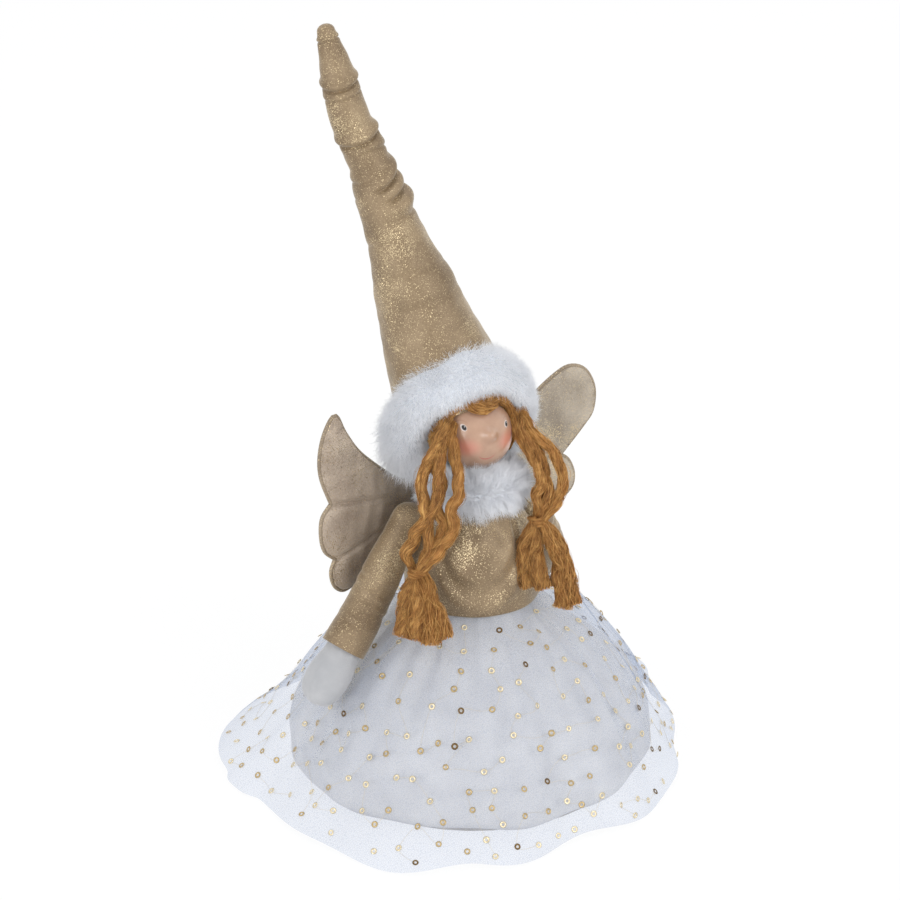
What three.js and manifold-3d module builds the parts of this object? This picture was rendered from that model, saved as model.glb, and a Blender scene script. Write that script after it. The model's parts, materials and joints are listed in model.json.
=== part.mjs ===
// Fairy tree topper: a stuffed doll with a tall bendable hat, on a card cone that slips over a tree's leader.
// Millimetres, +Z up. The doll faces -Y and its own left is +X.
// The origin is on the cone's axis, on the table.
import * as THREE from "three";
import { mergeVertices } from "three/addons/utils/BufferGeometryUtils.js";
import Module from "manifold-3d";

const wasm = await Module();
wasm.setup();

// Clearances
const gap = 0.3;
const overrun = 2;

// Stand: card ring, card cone and the disc that stops the tree's leader
const baseRingThickness = 2;
const baseRingWidth = 14;
const coneBaseRadius = 66;
const coneTopRadius = 22;
const coneHeight = 86;
const cardThickness = 1.4;
const discThickness = 2;

// Skirts
const gatherThickness = 3;
const underskirtRadius = 84;
const underskirtFoldDepth = 1.6;
const netThickness = 0.6;
const netRadius = 104;
const netHemRadius = 110;
const netHemLift = 0.8;
const netFoldDepth = 3;
const waistTieThickness = 1.6;

// Body
const bodiceRadius = 31.5;
const bodiceHeight = 54;
const bodiceLap = 2.6;
const neckRadius = 8;
const clothThickness = 0.9;
const dowelRadius = 3;
const dowelBodyDepth = 34;
const dowelHeadDepth = 8;

// Head, hair and collar
const headRadius = 17.5;
const chinRise = 5.8;
const noseRadius = 3.4;
const noseRise = 5;
const hairThickness = 3.2;
const collarRadius = 15;
const collarThickness = 16;
const collarWidth = 15;
const collarDrop = 5.7;

// Hat brim, a plush band worn like a bonnet
const brimRadius = 27;
const brimThickness = 14.5;
const brimWidthFront = 22;
const brimWidthNape = 14;
const brimOffset = 12;
const brimRise = 4.5;

// Hat: a hood and cone, then two more lengths of stuffed cone, each on a bend
const hoodDepth = 14;
const hoodRise = 44;
const hoodTopRadius = 20.4;
const lowerConeLength = 53;
const middleConeLength = 44;
const tipConeLength = 36;
const lowerBendRadius = 12.3;
const upperBendRadius = 8.9;
const hatTipRadius = 4.6;
const wireRadius = 0.8;

// Arms
const armLength = 93;
const shoulderRise = 35;
const shoulderRadius = 7.5;
const cuffRadius = 10;
const handRadius = 9.8;
const handLength = 28;
const wristLength = 5;

// Wings
const wingWidth = 68;
const wingHeight = 89;
const wingThickness = 6;
const wingEdgeThickness = 2;
const wingEdgeWidth = 1;
const wingRootHeight = 13;
const pipingRadius = 0.8;
const patchWidth = 9;
const patchHeight = 24;
const wingOffset = 31;
const wingRise = 38;

// Braids and tassels
const braidLengths = { right: 55, left: 41 };
const tasselLengths = { right: 30, left: 39 };
const braidWidth = 19;
const braidThickness = 13;
const braidTopRadius = 4.5;
const braidNeckRadius = 4;
const tieThickness = 2.2;
const tasselWidths = { right: 25, left: 30 };
const tasselThickness = 9;

// Angles, in degrees
const brimTilt = 65;
const collarTilt = 14;
const faceOpeningTilt = 15;
const lowerHatLean = { side: 15.5, back: 11.8 };
const middleHatLean = { side: 17.5, back: 11.2 };
const tipHatLean = { side: 10.8, back: 11.2 };
const hatBendLimit = 30;
const braidForwardTurn = 32;
const braidYaw = { right: -47, left: 8 };
const armSwingLimit = 60;
const wingSweep = { right: 17, left: 0 };
const shoulderBackTurn = { right: 5.5, left: 11 };

const degree = Math.PI / 180;
const upright = new THREE.Vector3(0, 0, 1);
const sides = { right: -1, left: 1 };

// Colours and finishes
const finishes = {
  card: { color: 0xc9bfae, roughness: 0.9, metalness: 0 },
  wadding: { color: 0xd6d4d2, roughness: 0.95, metalness: 0 },
  net: { color: 0xe6e9ee, roughness: 0.7, metalness: 0 },
  thread: { color: 0xe6e2da, roughness: 0.8, metalness: 0 },
  gold_cloth: { color: 0x9c8466, roughness: 0.45, metalness: 0.35 },
  stuffing: { color: 0xf2f2f0, roughness: 1, metalness: 0 },
  wood: { color: 0xc8a878, roughness: 0.7, metalness: 0 },
  plush: { color: 0xc8ccd2, roughness: 1, metalness: 0 },
  painted_face: { color: 0xcba48f, roughness: 0.15, metalness: 0 },
  wool: { color: 0x92682f, roughness: 0.95, metalness: 0 },
  wire: { color: 0x9a9a9a, roughness: 0.4, metalness: 1 },
  white_cloth: { color: 0xbcbdc2, roughness: 0.9, metalness: 0 },
};

// Mesh helpers

function piece(name, geometry, finish) {
  const mesh = new THREE.Mesh(geometry, new THREE.MeshStandardMaterial(finishes[finish]));
  mesh.name = name;
  return mesh;
}

function lerp(from, to, share) {
  return from + (to - from) * share;
}

// A value read from a table of [at, value] pairs whose first numbers rise.
function readTable(table, at) {
  const next = table.findIndex(([place]) => place >= at);
  if (next < 0) return table[table.length - 1][1];
  if (next === 0) return table[0][1];
  const [lowAt, low] = table[next - 1];
  const [highAt, high] = table[next];
  return lerp(low, high, (at - lowAt) / (highAt - lowAt));
}

function ringOf(count, pointAt) {
  return Array.from({ length: count }, (_, i) => pointAt((i / count) * 2 * Math.PI));
}

function middleOf(ring) {
  const sum = new THREE.Vector3();
  ring.forEach((point) => sum.add(point));
  return sum.divideScalar(ring.length);
}

// A closed body from rings of points. The rings go up, each ring counter-clockwise seen from above.
// With joined ends the last ring meets the first, otherwise each end is closed by a fan.
function skin(rings, joinedEnds = false) {
  const count = rings[0].length;
  const points = rings.flat();
  const faces = [];
  const bands = joinedEnds ? rings.length : rings.length - 1;
  for (let k = 0; k < bands; k += 1) {
    const above = ((k + 1) % rings.length) * count;
    for (let i = 0; i < count; i += 1) {
      const next = (i + 1) % count;
      faces.push(k * count + i, k * count + next, above + next);
      faces.push(k * count + i, above + next, above + i);
    }
  }
  if (!joinedEnds) {
    const last = (rings.length - 1) * count;
    const low = points.length;
    points.push(middleOf(rings[0]), middleOf(rings[rings.length - 1]));
    for (let i = 0; i < count; i += 1) {
      const next = (i + 1) % count;
      faces.push(low, next, i);
      faces.push(low + 1, last + i, last + next);
    }
  }
  const geometry = new THREE.BufferGeometry().setFromPoints(points);
  geometry.setIndex(faces);
  geometry.computeVertexNormals();
  return geometry;
}

// A turned body about Z. The profile is a list of [radius, height] with the outer side going up.
function turned(profile, segments) {
  const points = profile.map(([radius, height]) => new THREE.Vector2(radius, height));
  return new THREE.LatheGeometry(points, segments).rotateX(Math.PI / 2);
}

// Profile points on an arc about a place on the axis, from one elevation to another.
function arc(radius, centreHeight, from, to, steps) {
  return Array.from({ length: steps + 1 }, (_, i) => {
    const elevation = lerp(from, to, i / steps);
    return [radius * Math.cos(elevation), centreHeight + radius * Math.sin(elevation)];
  });
}

// Moves a profile's points square to it, outward for a positive distance. Its ends keep their heights.
function offsetProfile(profile, distance) {
  return profile.map(([radius, height], i) => {
    const before = profile[Math.max(i - 1, 0)];
    const after = profile[Math.min(i + 1, profile.length - 1)];
    const along = new THREE.Vector2(after[0] - before[0], after[1] - before[1]).normalize();
    const atEnd = i === 0 || i === profile.length - 1;
    const out = atEnd ? distance / along.y : distance * along.y;
    return [radius + out, atEnd ? height : height - distance * along.x];
  });
}

function ball(radius, centre, across = 22, up = 14) {
  const sphere = new THREE.SphereGeometry(radius, across, up).rotateX(Math.PI / 2);
  return sphere.translate(centre.x, centre.y, centre.z);
}

// An upright rod between two heights on the axis.
function rod(radius, low, high, segments = 12) {
  const cylinder = new THREE.CylinderGeometry(radius, radius, high - low, segments).rotateX(Math.PI / 2);
  return cylinder.translate(0, 0, (low + high) / 2);
}

function solidOf(geometry) {
  const bare = geometry.clone();
  bare.deleteAttribute("normal");
  bare.deleteAttribute("uv");
  const merged = mergeVertices(bare, gap / 1000);
  const corners = merged.index.array;
  const kept = [];
  for (let i = 0; i < corners.length; i += 3) {
    const [a, b, c] = corners.slice(i, i + 3);
    if (a !== b && b !== c && c !== a) kept.push(a, b, c);
  }
  return new wasm.Manifold(
    new wasm.Mesh({
      numProp: 3,
      vertProperties: new Float32Array(merged.attributes.position.array),
      triVerts: new Uint32Array(kept),
    }),
  );
}

function geometryOf(solid) {
  const mesh = solid.getMesh();
  const geometry = new THREE.BufferGeometry();
  geometry.setAttribute("position", new THREE.BufferAttribute(mesh.vertProperties, mesh.numProp));
  geometry.setIndex(new THREE.BufferAttribute(mesh.triVerts, 1));
  geometry.computeVertexNormals();
  return geometry;
}

function cutFrom(geometry, ...cutters) {
  return geometryOf(cutters.reduce((left, cutter) => left.subtract(solidOf(cutter)), solidOf(geometry)));
}

// A ring of points about a place on a curve, square to the curve. Width runs across, thickness front to back.
function crossRing(count, centre, direction, halfWidth, halfThickness, yaw = 0) {
  const frame = new THREE.Quaternion().setFromUnitVectors(upright, direction);
  return ringOf(count, (angle) =>
    new THREE.Vector3(halfWidth * Math.cos(angle), halfThickness * Math.sin(angle), 0)
      .applyAxisAngle(upright, yaw)
      .applyQuaternion(frame)
      .add(centre),
  );
}

// Rings that round off the end of an arm or a braid, by their elevation on the ball, in degrees
const crownElevations = [35, 65];

// Heights that follow from the sizes above
const coneBottom = baseRingThickness + gap;
const coneTop = coneBottom + coneHeight;
const discBottom = coneTop + gap;
const discTop = discBottom + discThickness;
const treeSeat = discBottom - cardThickness;
const bodiceHem = coneTop - bodiceLap;
const neckHeight = bodiceHem + bodiceHeight;
const headHeight = neckHeight + chinRise + headRadius;
const headCentre = new THREE.Vector3(0, 0, headHeight);

// Stand

const skirtSegments = 40;

function makeBaseRing() {
  const outer = coneBaseRadius + baseRingWidth / 2;
  const inner = coneBaseRadius - baseRingWidth / 2;
  const profile = [
    [inner, 0],
    [outer, 0],
    [outer, baseRingThickness],
    [inner, baseRingThickness],
    [inner, 0],
  ];
  return piece("base_ring", turned(profile, skirtSegments), "card");
}

function makeCone() {
  const profile = [
    [coneBaseRadius - cardThickness, coneBottom],
    [coneBaseRadius, coneBottom],
    [coneTopRadius, coneTop],
    [coneTopRadius - cardThickness, coneTop],
    [coneBaseRadius - cardThickness, coneBottom],
  ];
  return piece("support_cone", turned(profile, skirtSegments), "card");
}

// The disc rests on the cone's rim. The step under it fits inside the rim and is the seat of the tree's tip.
function makeConeTopDisc() {
  const seatRadius = coneTopRadius - cardThickness - gap;
  const profile = [
    [0, treeSeat],
    [seatRadius, treeSeat],
    [seatRadius, discBottom],
    [coneTopRadius, discBottom],
    [coneTopRadius, discTop],
    [0, discTop],
  ];
  return piece("cone_top_disc", turned(profile, skirtSegments), "card");
}

// Skirts. Both are read at the same heights and directions, so that the net never cuts the padding.
// First number: share of the cone's height. Second: share of the way from the waist to the full radius.

const underskirtOutlineShares = [
  [0, 0.9],
  [0.06, 0.985],
  [0.17, 1],
  [0.32, 0.93],
  [0.46, 0.79],
  [0.6, 0.56],
  [0.72, 0.36],
  [0.85, 0.16],
  [0.95, 0.03],
  [0.975, 0],
  [1, 0],
];
const netOutlineShares = [
  [0, 0.98],
  [0.06, 0.93],
  [0.17, 0.85],
  [0.32, 0.735],
  [0.46, 0.645],
  [0.6, 0.54],
  [0.72, 0.44],
  [0.85, 0.29],
  [0.95, 0.06],
  [0.975, 0.01],
  [1, 0],
];
const skirtHeightShares = netOutlineShares.map(([share]) => share);

// Net hem's radius by direction, from the doll's left round by its back, as shares of the hem radius.
const netHemShares = [
  0.89, 1.1, 1.02, 0.92, 0.88, 0.93, 1.04, 1.085, 1, 0.975, 1.045, 0.95, 0.87, 0.895, 0.885, 0.89,
];

const waistRadius = coneTopRadius + gap + gatherThickness;
const netWaistRadius = waistRadius + gap + netThickness;

// The folds are two waves round the skirt, each with a count, a start angle and a share of the depth.
const foldWaves = [
  { count: 7, start: 0.4, depthShare: 0.55 },
  { count: 12, start: 1.9, depthShare: 0.45 },
];

function fold(angle) {
  const heights = foldWaves.map((wave) => wave.depthShare * Math.cos(wave.count * angle + wave.start));
  return heights.reduce((sum, height) => sum + height);
}

function hemRadiusAt(angle) {
  const turn = (angle / (2 * Math.PI)) * netHemShares.length;
  const from = Math.floor(turn);
  const ease = (1 - Math.cos(Math.PI * (turn - from))) / 2;
  const next = (from + 1) % netHemShares.length;
  return netHemRadius * lerp(netHemShares[from], netHemShares[next], ease);
}

function skirtHeight(share) {
  return lerp(coneBottom, coneTop, share);
}

function coneRadiusAt(share) {
  return lerp(coneBaseRadius, coneTopRadius, share);
}

function underskirtRadiusAt(share, angle) {
  const padded = lerp(waistRadius, underskirtRadius, readTable(underskirtOutlineShares, share));
  const least = coneRadiusAt(share) + gap + gatherThickness;
  return Math.max(padded, least) + underskirtFoldDepth * (1 - share) * fold(angle);
}

function netRadiusAt(share, angle) {
  const full = lerp(netRadius, hemRadiusAt(angle), (1 - share) ** 4);
  const radius = lerp(netWaistRadius, full, readTable(netOutlineShares, share));
  const draped = radius + netFoldDepth * (1 - share) * fold(angle);
  return Math.max(draped, underskirtRadiusAt(share, angle) + gap + netThickness);
}

function levelRing(radiusAt, height) {
  return ringOf(skirtSegments, (angle) => {
    const radius = radiusAt(angle);
    return new THREE.Vector3(radius * Math.cos(angle), radius * Math.sin(angle), height);
  });
}

function makeUnderskirt() {
  const outer = skirtHeightShares.map((share) =>
    levelRing((angle) => underskirtRadiusAt(share, angle), skirtHeight(share)),
  );
  const inner = [1, 0].map((share) => levelRing(() => coneRadiusAt(share) + gap, skirtHeight(share)));
  return piece("underskirt", skin([...outer, ...inner], true), "wadding");
}

function makeNetSkirt() {
  const hem = { height: netHemLift, radiusAt: hemRadiusAt };
  const levels = skirtHeightShares.map((share) => ({
    height: skirtHeight(share),
    radiusAt: (angle) => netRadiusAt(share, angle),
  }));
  const rows = [hem, ...levels];
  const outer = rows.map((row) => levelRing(row.radiusAt, row.height));
  const inner = rows.map((row) => levelRing((angle) => row.radiusAt(angle) - netThickness, row.height));
  return piece("tulle_overskirt", skin([...outer, ...inner.reverse()], true), "net");
}

function makeWaistTie() {
  const tube = waistTieThickness / 2;
  const height = coneTop - tube - gap;
  const lowest = (height - tube - coneBottom) / coneHeight;
  const widest = Math.max(...ringOf(skirtSegments, (angle) => netRadiusAt(lowest, angle)));
  const ring = new THREE.TorusGeometry(widest + gap + tube, tube, 4, skirtSegments);
  return piece("waist_tie", ring.translate(0, 0, height), "thread");
}

// Body

const bodySegments = 24;

// First number: share of the bodice's height. Second: share of the way from the neck to the full radius.
const bodiceOutlineShares = [
  [0, 0.98],
  [0.17, 1],
  [0.36, 0.94],
  [0.6, 0.77],
  [0.78, 0.51],
  [0.93, 0.2],
  [1, 0],
];
const bodiceProfile = bodiceOutlineShares.map(([rise, width]) => [
  lerp(neckRadius, bodiceRadius, width),
  bodiceHem + bodiceHeight * rise,
]);

function makeTorsoCover() {
  const inner = offsetProfile(bodiceProfile, -clothThickness).reverse();
  const profile = [...bodiceProfile, ...inner, bodiceProfile[0]];
  return piece("torso_cover", turned(profile, bodySegments), "gold_cloth");
}

const dowelFoot = neckHeight - dowelBodyDepth;
const dowelTop = headHeight - headRadius + dowelHeadDepth;

function makeTorsoFilling() {
  const side = offsetProfile(bodiceProfile, -clothThickness - gap);
  const low = discTop + gap;
  const lowRadius = readTable(side.map(([radius, height]) => [height, radius]), low);
  const bore = dowelRadius + gap;
  const profile = [
    [0, low],
    [lowRadius, low],
    ...side.filter(([, height]) => height > low),
    [bore, neckHeight],
    [bore, dowelFoot - gap],
    [0, dowelFoot - gap],
  ];
  return piece("torso_filling", turned(profile, bodySegments), "stuffing");
}

function makeDowel() {
  return piece("neck_dowel", rod(dowelRadius, dowelFoot, dowelTop, 16), "wood");
}

// The bodice grown by a clearance, which cuts what lies on it.
function bodiceRoom() {
  const side = offsetProfile(bodiceProfile, gap);
  return turned([[0, bodiceHem], ...side, [0, neckHeight]], bodySegments);
}

// Head and hair

// How far the hair's edges lie in front of and below the head's centre, as shares of the head's radius.
const hairFrontShare = 0.62;
const hairDropShare = 0.6;

const noseSegments = 16;
const noseRows = 10;
const hairOuterRadius = headRadius + gap + hairThickness;
const hairCentre = headCentre.clone().add(new THREE.Vector3(0, 0, hairThickness / 3));

function makeHead() {
  const noseForward = Math.sqrt(headRadius ** 2 - noseRise ** 2);
  const nose = new THREE.Vector3(0, -noseForward, headHeight + noseRise);
  const noseBall = ball(noseRadius, nose, noseSegments, noseRows);
  const face = solidOf(ball(headRadius, headCentre)).add(solidOf(noseBall));
  const bore = rod(dowelRadius + gap, neckHeight, dowelTop + gap, 16);
  return piece("head", geometryOf(face.subtract(solidOf(bore))), "painted_face");
}

// Hair covers the ball behind a tilted plane that leaves the face free, and ends above the collar.
function makeHair() {
  const span = hairOuterRadius * 2 + overrun;
  const faceRoom = new THREE.BoxGeometry(span * 2, span, span * 2).translate(0, -span / 2, 0);
  faceRoom.rotateX(faceOpeningTilt * degree).translate(0, -headRadius * hairFrontShare, headHeight);
  const neckRoom = new THREE.BoxGeometry(span * 2, span * 2, span);
  neckRoom.translate(0, 0, headHeight - headRadius * hairDropShare - span / 2);
  const rooms = [ball(headRadius + gap, headCentre), brimBody(gap), faceRoom, neckRoom];
  return piece("hair_cap", cutFrom(ball(hairOuterRadius, hairCentre), ...rooms), "wool");
}

// Brim and collar: oval bands round a tilted circle. The rise of a place on it runs from -1 to 1.

function ovalBand(centre, up, radius, halfThickness, halfWidthAt, segments, steps) {
  const across = new THREE.Vector3(1, 0, 0);
  const axis = across.clone().cross(up);
  const rings = ringOf(steps, (turn) =>
    ringOf(segments, (angle) => {
      const out = radius + halfThickness * Math.cos(turn);
      const point = centre.clone().addScaledVector(across, out * Math.cos(angle));
      point.addScaledVector(up, out * Math.sin(angle));
      return point.addScaledVector(axis, halfWidthAt(Math.sin(angle)) * Math.sin(turn));
    }),
  );
  return skin(rings, true);
}

const brimCentre = new THREE.Vector3(0, brimOffset, headHeight + brimRise);
const brimUp = new THREE.Vector3(0, -Math.cos(brimTilt * degree), Math.sin(brimTilt * degree));
const brimBack = new THREE.Vector3(0, Math.sin(brimTilt * degree), Math.cos(brimTilt * degree));

function brimBody(grow) {
  const halfWidthAt = (rise) => lerp(brimWidthNape, brimWidthFront, (rise + 1) / 2) / 2 + grow;
  return ovalBand(brimCentre, brimUp, brimRadius, brimThickness / 2 + grow, halfWidthAt, 36, 12);
}

function makeBrim() {
  return piece("hat_brim", brimBody(0), "plush");
}

function collarBody(grow) {
  const centre = new THREE.Vector3(0, 0, neckHeight - collarDrop);
  const front = new THREE.Vector3(0, -Math.cos(collarTilt * degree), Math.sin(collarTilt * degree));
  const halfWidth = collarWidth / 2 + grow;
  return ovalBand(centre, front, collarRadius, collarThickness / 2 + grow, () => halfWidth, 32, 10);
}

function makeCollar() {
  const collar = cutFrom(collarBody(0), bodiceRoom(), ball(headRadius + gap, headCentre), brimBody(gap));
  return piece("fur_collar", collar, "plush");
}

// Hat

const hatSegments = 20;

function leaning(lean) {
  return new THREE.Vector3(-Math.tan(lean.side * degree), Math.tan(lean.back * degree), 1).normalize();
}

// The brim is narrower at the nape, so the hood's mouth is turned a little from the brim's plane.
const mouthSlope = (brimWidthFront - brimWidthNape) / (4 * brimRadius);
const mouthAxis = brimBack.clone().addScaledVector(brimUp, -mouthSlope).normalize();
const mouthCentre = brimCentre.clone().addScaledVector(brimBack, (brimWidthFront + brimWidthNape) / 4 + gap);
const lowerAxis = leaning(lowerHatLean);
const middleAxis = leaning(middleHatLean);
const tipAxis = leaning(tipHatLean);
const hoodTop = mouthCentre.clone().addScaledVector(lowerAxis, hoodRise / lowerAxis.z);
const lowerBend = hoodTop.clone().addScaledVector(lowerAxis, lowerConeLength);
const upperBend = lowerBend.clone().addScaledVector(middleAxis, middleConeLength);

// Puts a body made about the origin, with its axis upright, on a bend of the hat.
function onBend(geometry, bend, axis) {
  const frame = new THREE.Quaternion().setFromUnitVectors(upright, axis);
  return geometry.applyQuaternion(frame).translate(bend.x, bend.y, bend.z);
}

// Hood rings turn from the brim's plane to the plane square to the lower cone.
function hoodRing(share, inset) {
  const control = mouthCentre.clone().addScaledVector(mouthAxis, hoodDepth);
  const centre = new THREE.QuadraticBezierCurve3(mouthCentre, control, hoodTop).getPoint(share);
  const direction = mouthAxis.clone().lerp(lowerAxis, share).normalize();
  const radius = lerp(brimRadius, hoodTopRadius, share * share) - inset;
  return crossRing(hatSegments, centre, direction, radius, radius);
}

const hoodSteps = 4;
const lowerConeShares = [0.25, 0.5, 0.75, 1];

function lowerHatRings(inset, coneEnd) {
  const hood = Array.from({ length: hoodSteps + 1 }, (_, i) => hoodRing(i / hoodSteps, inset));
  const cone = lowerConeShares.map((share) => {
    const along = coneEnd * share;
    const slimming = Math.sin((along / lowerConeLength) * (Math.PI / 2));
    const radius = lerp(hoodTopRadius, lowerBendRadius, slimming) - inset;
    const centre = hoodTop.clone().addScaledVector(lowerAxis, along);
    return crossRing(hatSegments, centre, lowerAxis, radius, radius);
  });
  return [...hood, ...cone];
}

// Room for the next length's ball foot, and for all that it can lean to.
function bendRoom(radius) {
  const low = -hatBendLimit * degree;
  const reach = radius * 2;
  return turned(
    [
      ...arc(radius + gap, 0, -Math.PI / 2, low, 5),
      [reach, reach * Math.tan(low)],
      [reach, reach],
      [0, reach],
    ],
    hatSegments,
  );
}

const cupFloor = lowerBendRadius + gap + clothThickness;
const boreRadius = wireRadius + gap;

function makeLowerHat() {
  const mouth = hoodRing(0, clothThickness).map((point) => point.addScaledVector(mouthAxis, -overrun));
  const inner = skin([mouth, ...lowerHatRings(clothThickness, lowerConeLength - cupFloor)]);
  const outer = skin(lowerHatRings(0, lowerConeLength));
  const room = onBend(bendRoom(lowerBendRadius), lowerBend, middleAxis);
  return piece("hat_lower", cutFrom(outer, inner, room), "gold_cloth");
}

// The stuffing fills the hood and comes forward through the brim until it meets the hair.
function makeHatFilling() {
  const plugRadius = brimRadius - brimThickness / 2 - gap;
  const plugFront = brimCentre.clone().addScaledVector(brimBack, -brimWidthNape / 2);
  const plug = crossRing(hatSegments, plugFront, brimBack, plugRadius, plugRadius);
  const body = skin([plug, ...lowerHatRings(clothThickness + gap, lowerConeLength - cupFloor - gap)]);
  const bore = onBend(rod(boreRadius, -lowerConeLength, 0), lowerBend, lowerAxis);
  const filling = cutFrom(body, ball(hairOuterRadius + gap, hairCentre), brimBody(gap), bore);
  return piece("hat_filling", filling, "stuffing");
}

// The lower side of a ball that stands on a bend, with the wire's bore through it.
function ballFoot(radius) {
  return arc(radius, 0, Math.asin(boreRadius / radius) - Math.PI / 2, 0, 6);
}

// Where a length of the cone narrows most: shares of its taper and of its length.
const middleNarrowing = { taperShare: 0.55, riseShare: 0.35 };
const tipNarrowing = { taperShare: 0.35, riseShare: 0.4 };

function makeMiddleHat() {
  const rim = upperBendRadius + gap + clothThickness;
  const profile = [
    ...ballFoot(lowerBendRadius),
    [lerp(lowerBendRadius, rim, middleNarrowing.taperShare), middleConeLength * middleNarrowing.riseShare],
    [rim, middleConeLength],
    [boreRadius, middleConeLength],
  ];
  const body = onBend(turned([...profile, profile[0]], hatSegments), lowerBend, middleAxis);
  const room = onBend(bendRoom(upperBendRadius), upperBend, tipAxis);
  return piece("hat_middle", cutFrom(body, room), "gold_cloth");
}

function makeTipHat() {
  const boreEnd = tipConeLength - hatTipRadius * 2;
  const profile = [
    [0, boreEnd],
    [boreRadius, boreEnd],
    ...ballFoot(upperBendRadius),
    [lerp(upperBendRadius, hatTipRadius, tipNarrowing.taperShare), tipConeLength * tipNarrowing.riseShare],
    ...arc(hatTipRadius, tipConeLength - hatTipRadius, 0, Math.PI / 2, 5),
  ];
  return piece("hat_tip", onBend(turned(profile, hatSegments), upperBend, tipAxis), "gold_cloth");
}

function makeWires() {
  const inset = 2 * wireRadius;
  const lower = rod(wireRadius, gap - lowerConeLength, -cupFloor - inset, 10);
  const middle = rod(wireRadius, inset - lowerBendRadius, middleConeLength - upperBendRadius - inset, 10);
  const tip = rod(wireRadius, inset - upperBendRadius, tipConeLength - hatTipRadius * 2 - gap, 10);
  return [
    piece("hat_wire_lower", onBend(lower, lowerBend, lowerAxis), "wire"),
    piece("hat_wire_middle", onBend(middle, lowerBend, middleAxis), "wire"),
    piece("hat_wire_tip", onBend(tip, upperBend, tipAxis), "wire"),
  ];
}

// Arms. Each follows a curve from the hand's tip to the shoulder, where it ends in a half ball.

// Places on the arm, from the shoulder, as shares of its length. Only the right arm shows from the front.
const armPathShares = {
  right: [
    [-0.58, -0.165, -0.8],
    [-0.285, -0.09, -0.41],
    [0, 0, 0],
  ],
  left: [
    [0.27, 0.58, -0.712],
    [0.25, 0.42, -0.603],
    [0.215, 0.22, -0.455],
    [0.1, 0.07, -0.25],
    [0, 0, 0],
  ],
};

// Where a ball rests on the bodice's side: its centre, a clearance off the cloth.
function shoulderCentre(side) {
  const height = bodiceHem + shoulderRise;
  const upper = bodiceProfile.findIndex(([, at]) => at >= height);
  const [lowRadius, low] = bodiceProfile[upper - 1];
  const [highRadius, high] = bodiceProfile[upper];
  const slope = new THREE.Vector2(high - low, lowRadius - highRadius).normalize();
  const distance = shoulderRadius + gap;
  const out = lerp(lowRadius, highRadius, (height - low) / (high - low)) + slope.x * distance;
  const turn = shoulderBackTurn[side] * degree;
  const across = sides[side] * out * Math.cos(turn);
  return new THREE.Vector3(across, out * Math.sin(turn), height + slope.y * distance);
}

function armCurve(side) {
  const shoulder = shoulderCentre(side);
  const places = armPathShares[side].map((shares) =>
    new THREE.Vector3(...shares).multiplyScalar(armLength).add(shoulder),
  );
  return new THREE.CatmullRomCurve3(places);
}

// The right arm lifts outward, the left one swings forward. Its sleeve clears the bodice all the way.
const armSwingAxes = { right: new THREE.Vector3(0, 1, 0), left: new THREE.Vector3(0, 0, -1) };
const armSwingSteps = 4;

function bodiceRooms(side) {
  const shoulder = shoulderCentre(side);
  return Array.from({ length: armSwingSteps + 1 }, (_, i) => {
    const turn = (-armSwingLimit * degree * i) / armSwingSteps;
    const swing = new THREE.Quaternion().setFromAxisAngle(armSwingAxes[side], turn);
    const room = bodiceRoom().translate(-shoulder.x, -shoulder.y, -shoulder.z);
    return room.applyQuaternion(swing).translate(shoulder.x, shoulder.y, shoulder.z);
  });
}

const armSegments = 14;
const cuffShare = handLength / armLength;

function armRing(curve, share, radius) {
  return crossRing(armSegments, curve.getPointAt(share), curve.getTangentAt(share), radius, radius);
}

const wristShare = (handLength + wristLength) / armLength;
const sleeveSteps = 7;

// Sleeve rings from the wrist, or from the cuff below it, up and over the shoulder.
function sleeveRings(curve, inset, fromCuff) {
  const steps = Array.from({ length: sleeveSteps }, (_, i) => lerp(wristShare, 1, i / (sleeveSteps - 1)));
  const length = (fromCuff ? [cuffShare, ...steps] : steps).map((share) => {
    const up = (share - cuffShare) / (1 - cuffShare);
    return armRing(curve, share, lerp(cuffRadius, shoulderRadius, up ** 1.5) - inset);
  });
  const radius = shoulderRadius - inset;
  const crown = crownElevations.map((elevation) => {
    const rise = radius * Math.sin(elevation * degree);
    const centre = curve.getPointAt(1).addScaledVector(curve.getTangentAt(1), rise);
    const around = radius * Math.cos(elevation * degree);
    return crossRing(armSegments, centre, curve.getTangentAt(1), around, around);
  });
  return [...length, ...crown];
}

// First number: share of the hand's length from its tip. Second: share of its full radius.
const handOutlineShares = [
  [0, 0.3],
  [0.07, 0.62],
  [0.2, 0.88],
  [0.42, 1],
  [0.7, 0.97],
  [0.93, 0.84],
];

function makeArm(side) {
  const curve = armCurve(side);
  const inner = sleeveRings(curve, clothThickness, true).reverse();
  const sleeve = cutFrom(skin([...inner, ...sleeveRings(curve, 0, true)]), ...bodiceRooms(side));
  const filling = sleeveRings(curve, clothThickness + gap, false);
  filling[0].forEach((point) => point.addScaledVector(curve.getTangentAt(wristShare), gap));
  const wrist = cuffRadius - clothThickness - 2 * gap;
  const palm = handOutlineShares.map(([along, width]) =>
    armRing(curve, along * cuffShare, handRadius * width),
  );
  const hand = skin([...palm, armRing(curve, cuffShare, wrist), armRing(curve, wristShare, wrist)]);
  return [
    piece(`sleeve_${side}`, sleeve, "gold_cloth"),
    piece(`arm_filling_${side}`, skin(filling), "stuffing"),
    piece(`hand_${side}`, hand, "white_cloth"),
  ];
}

// Wings. Each has three lobes on an upright root seam, and turns about the seam.

const wingCentreHeight = bodiceHem + wingRise;
const wingHingeAcross = patchWidth / 2 + gap + wingEdgeThickness / 2;

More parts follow.
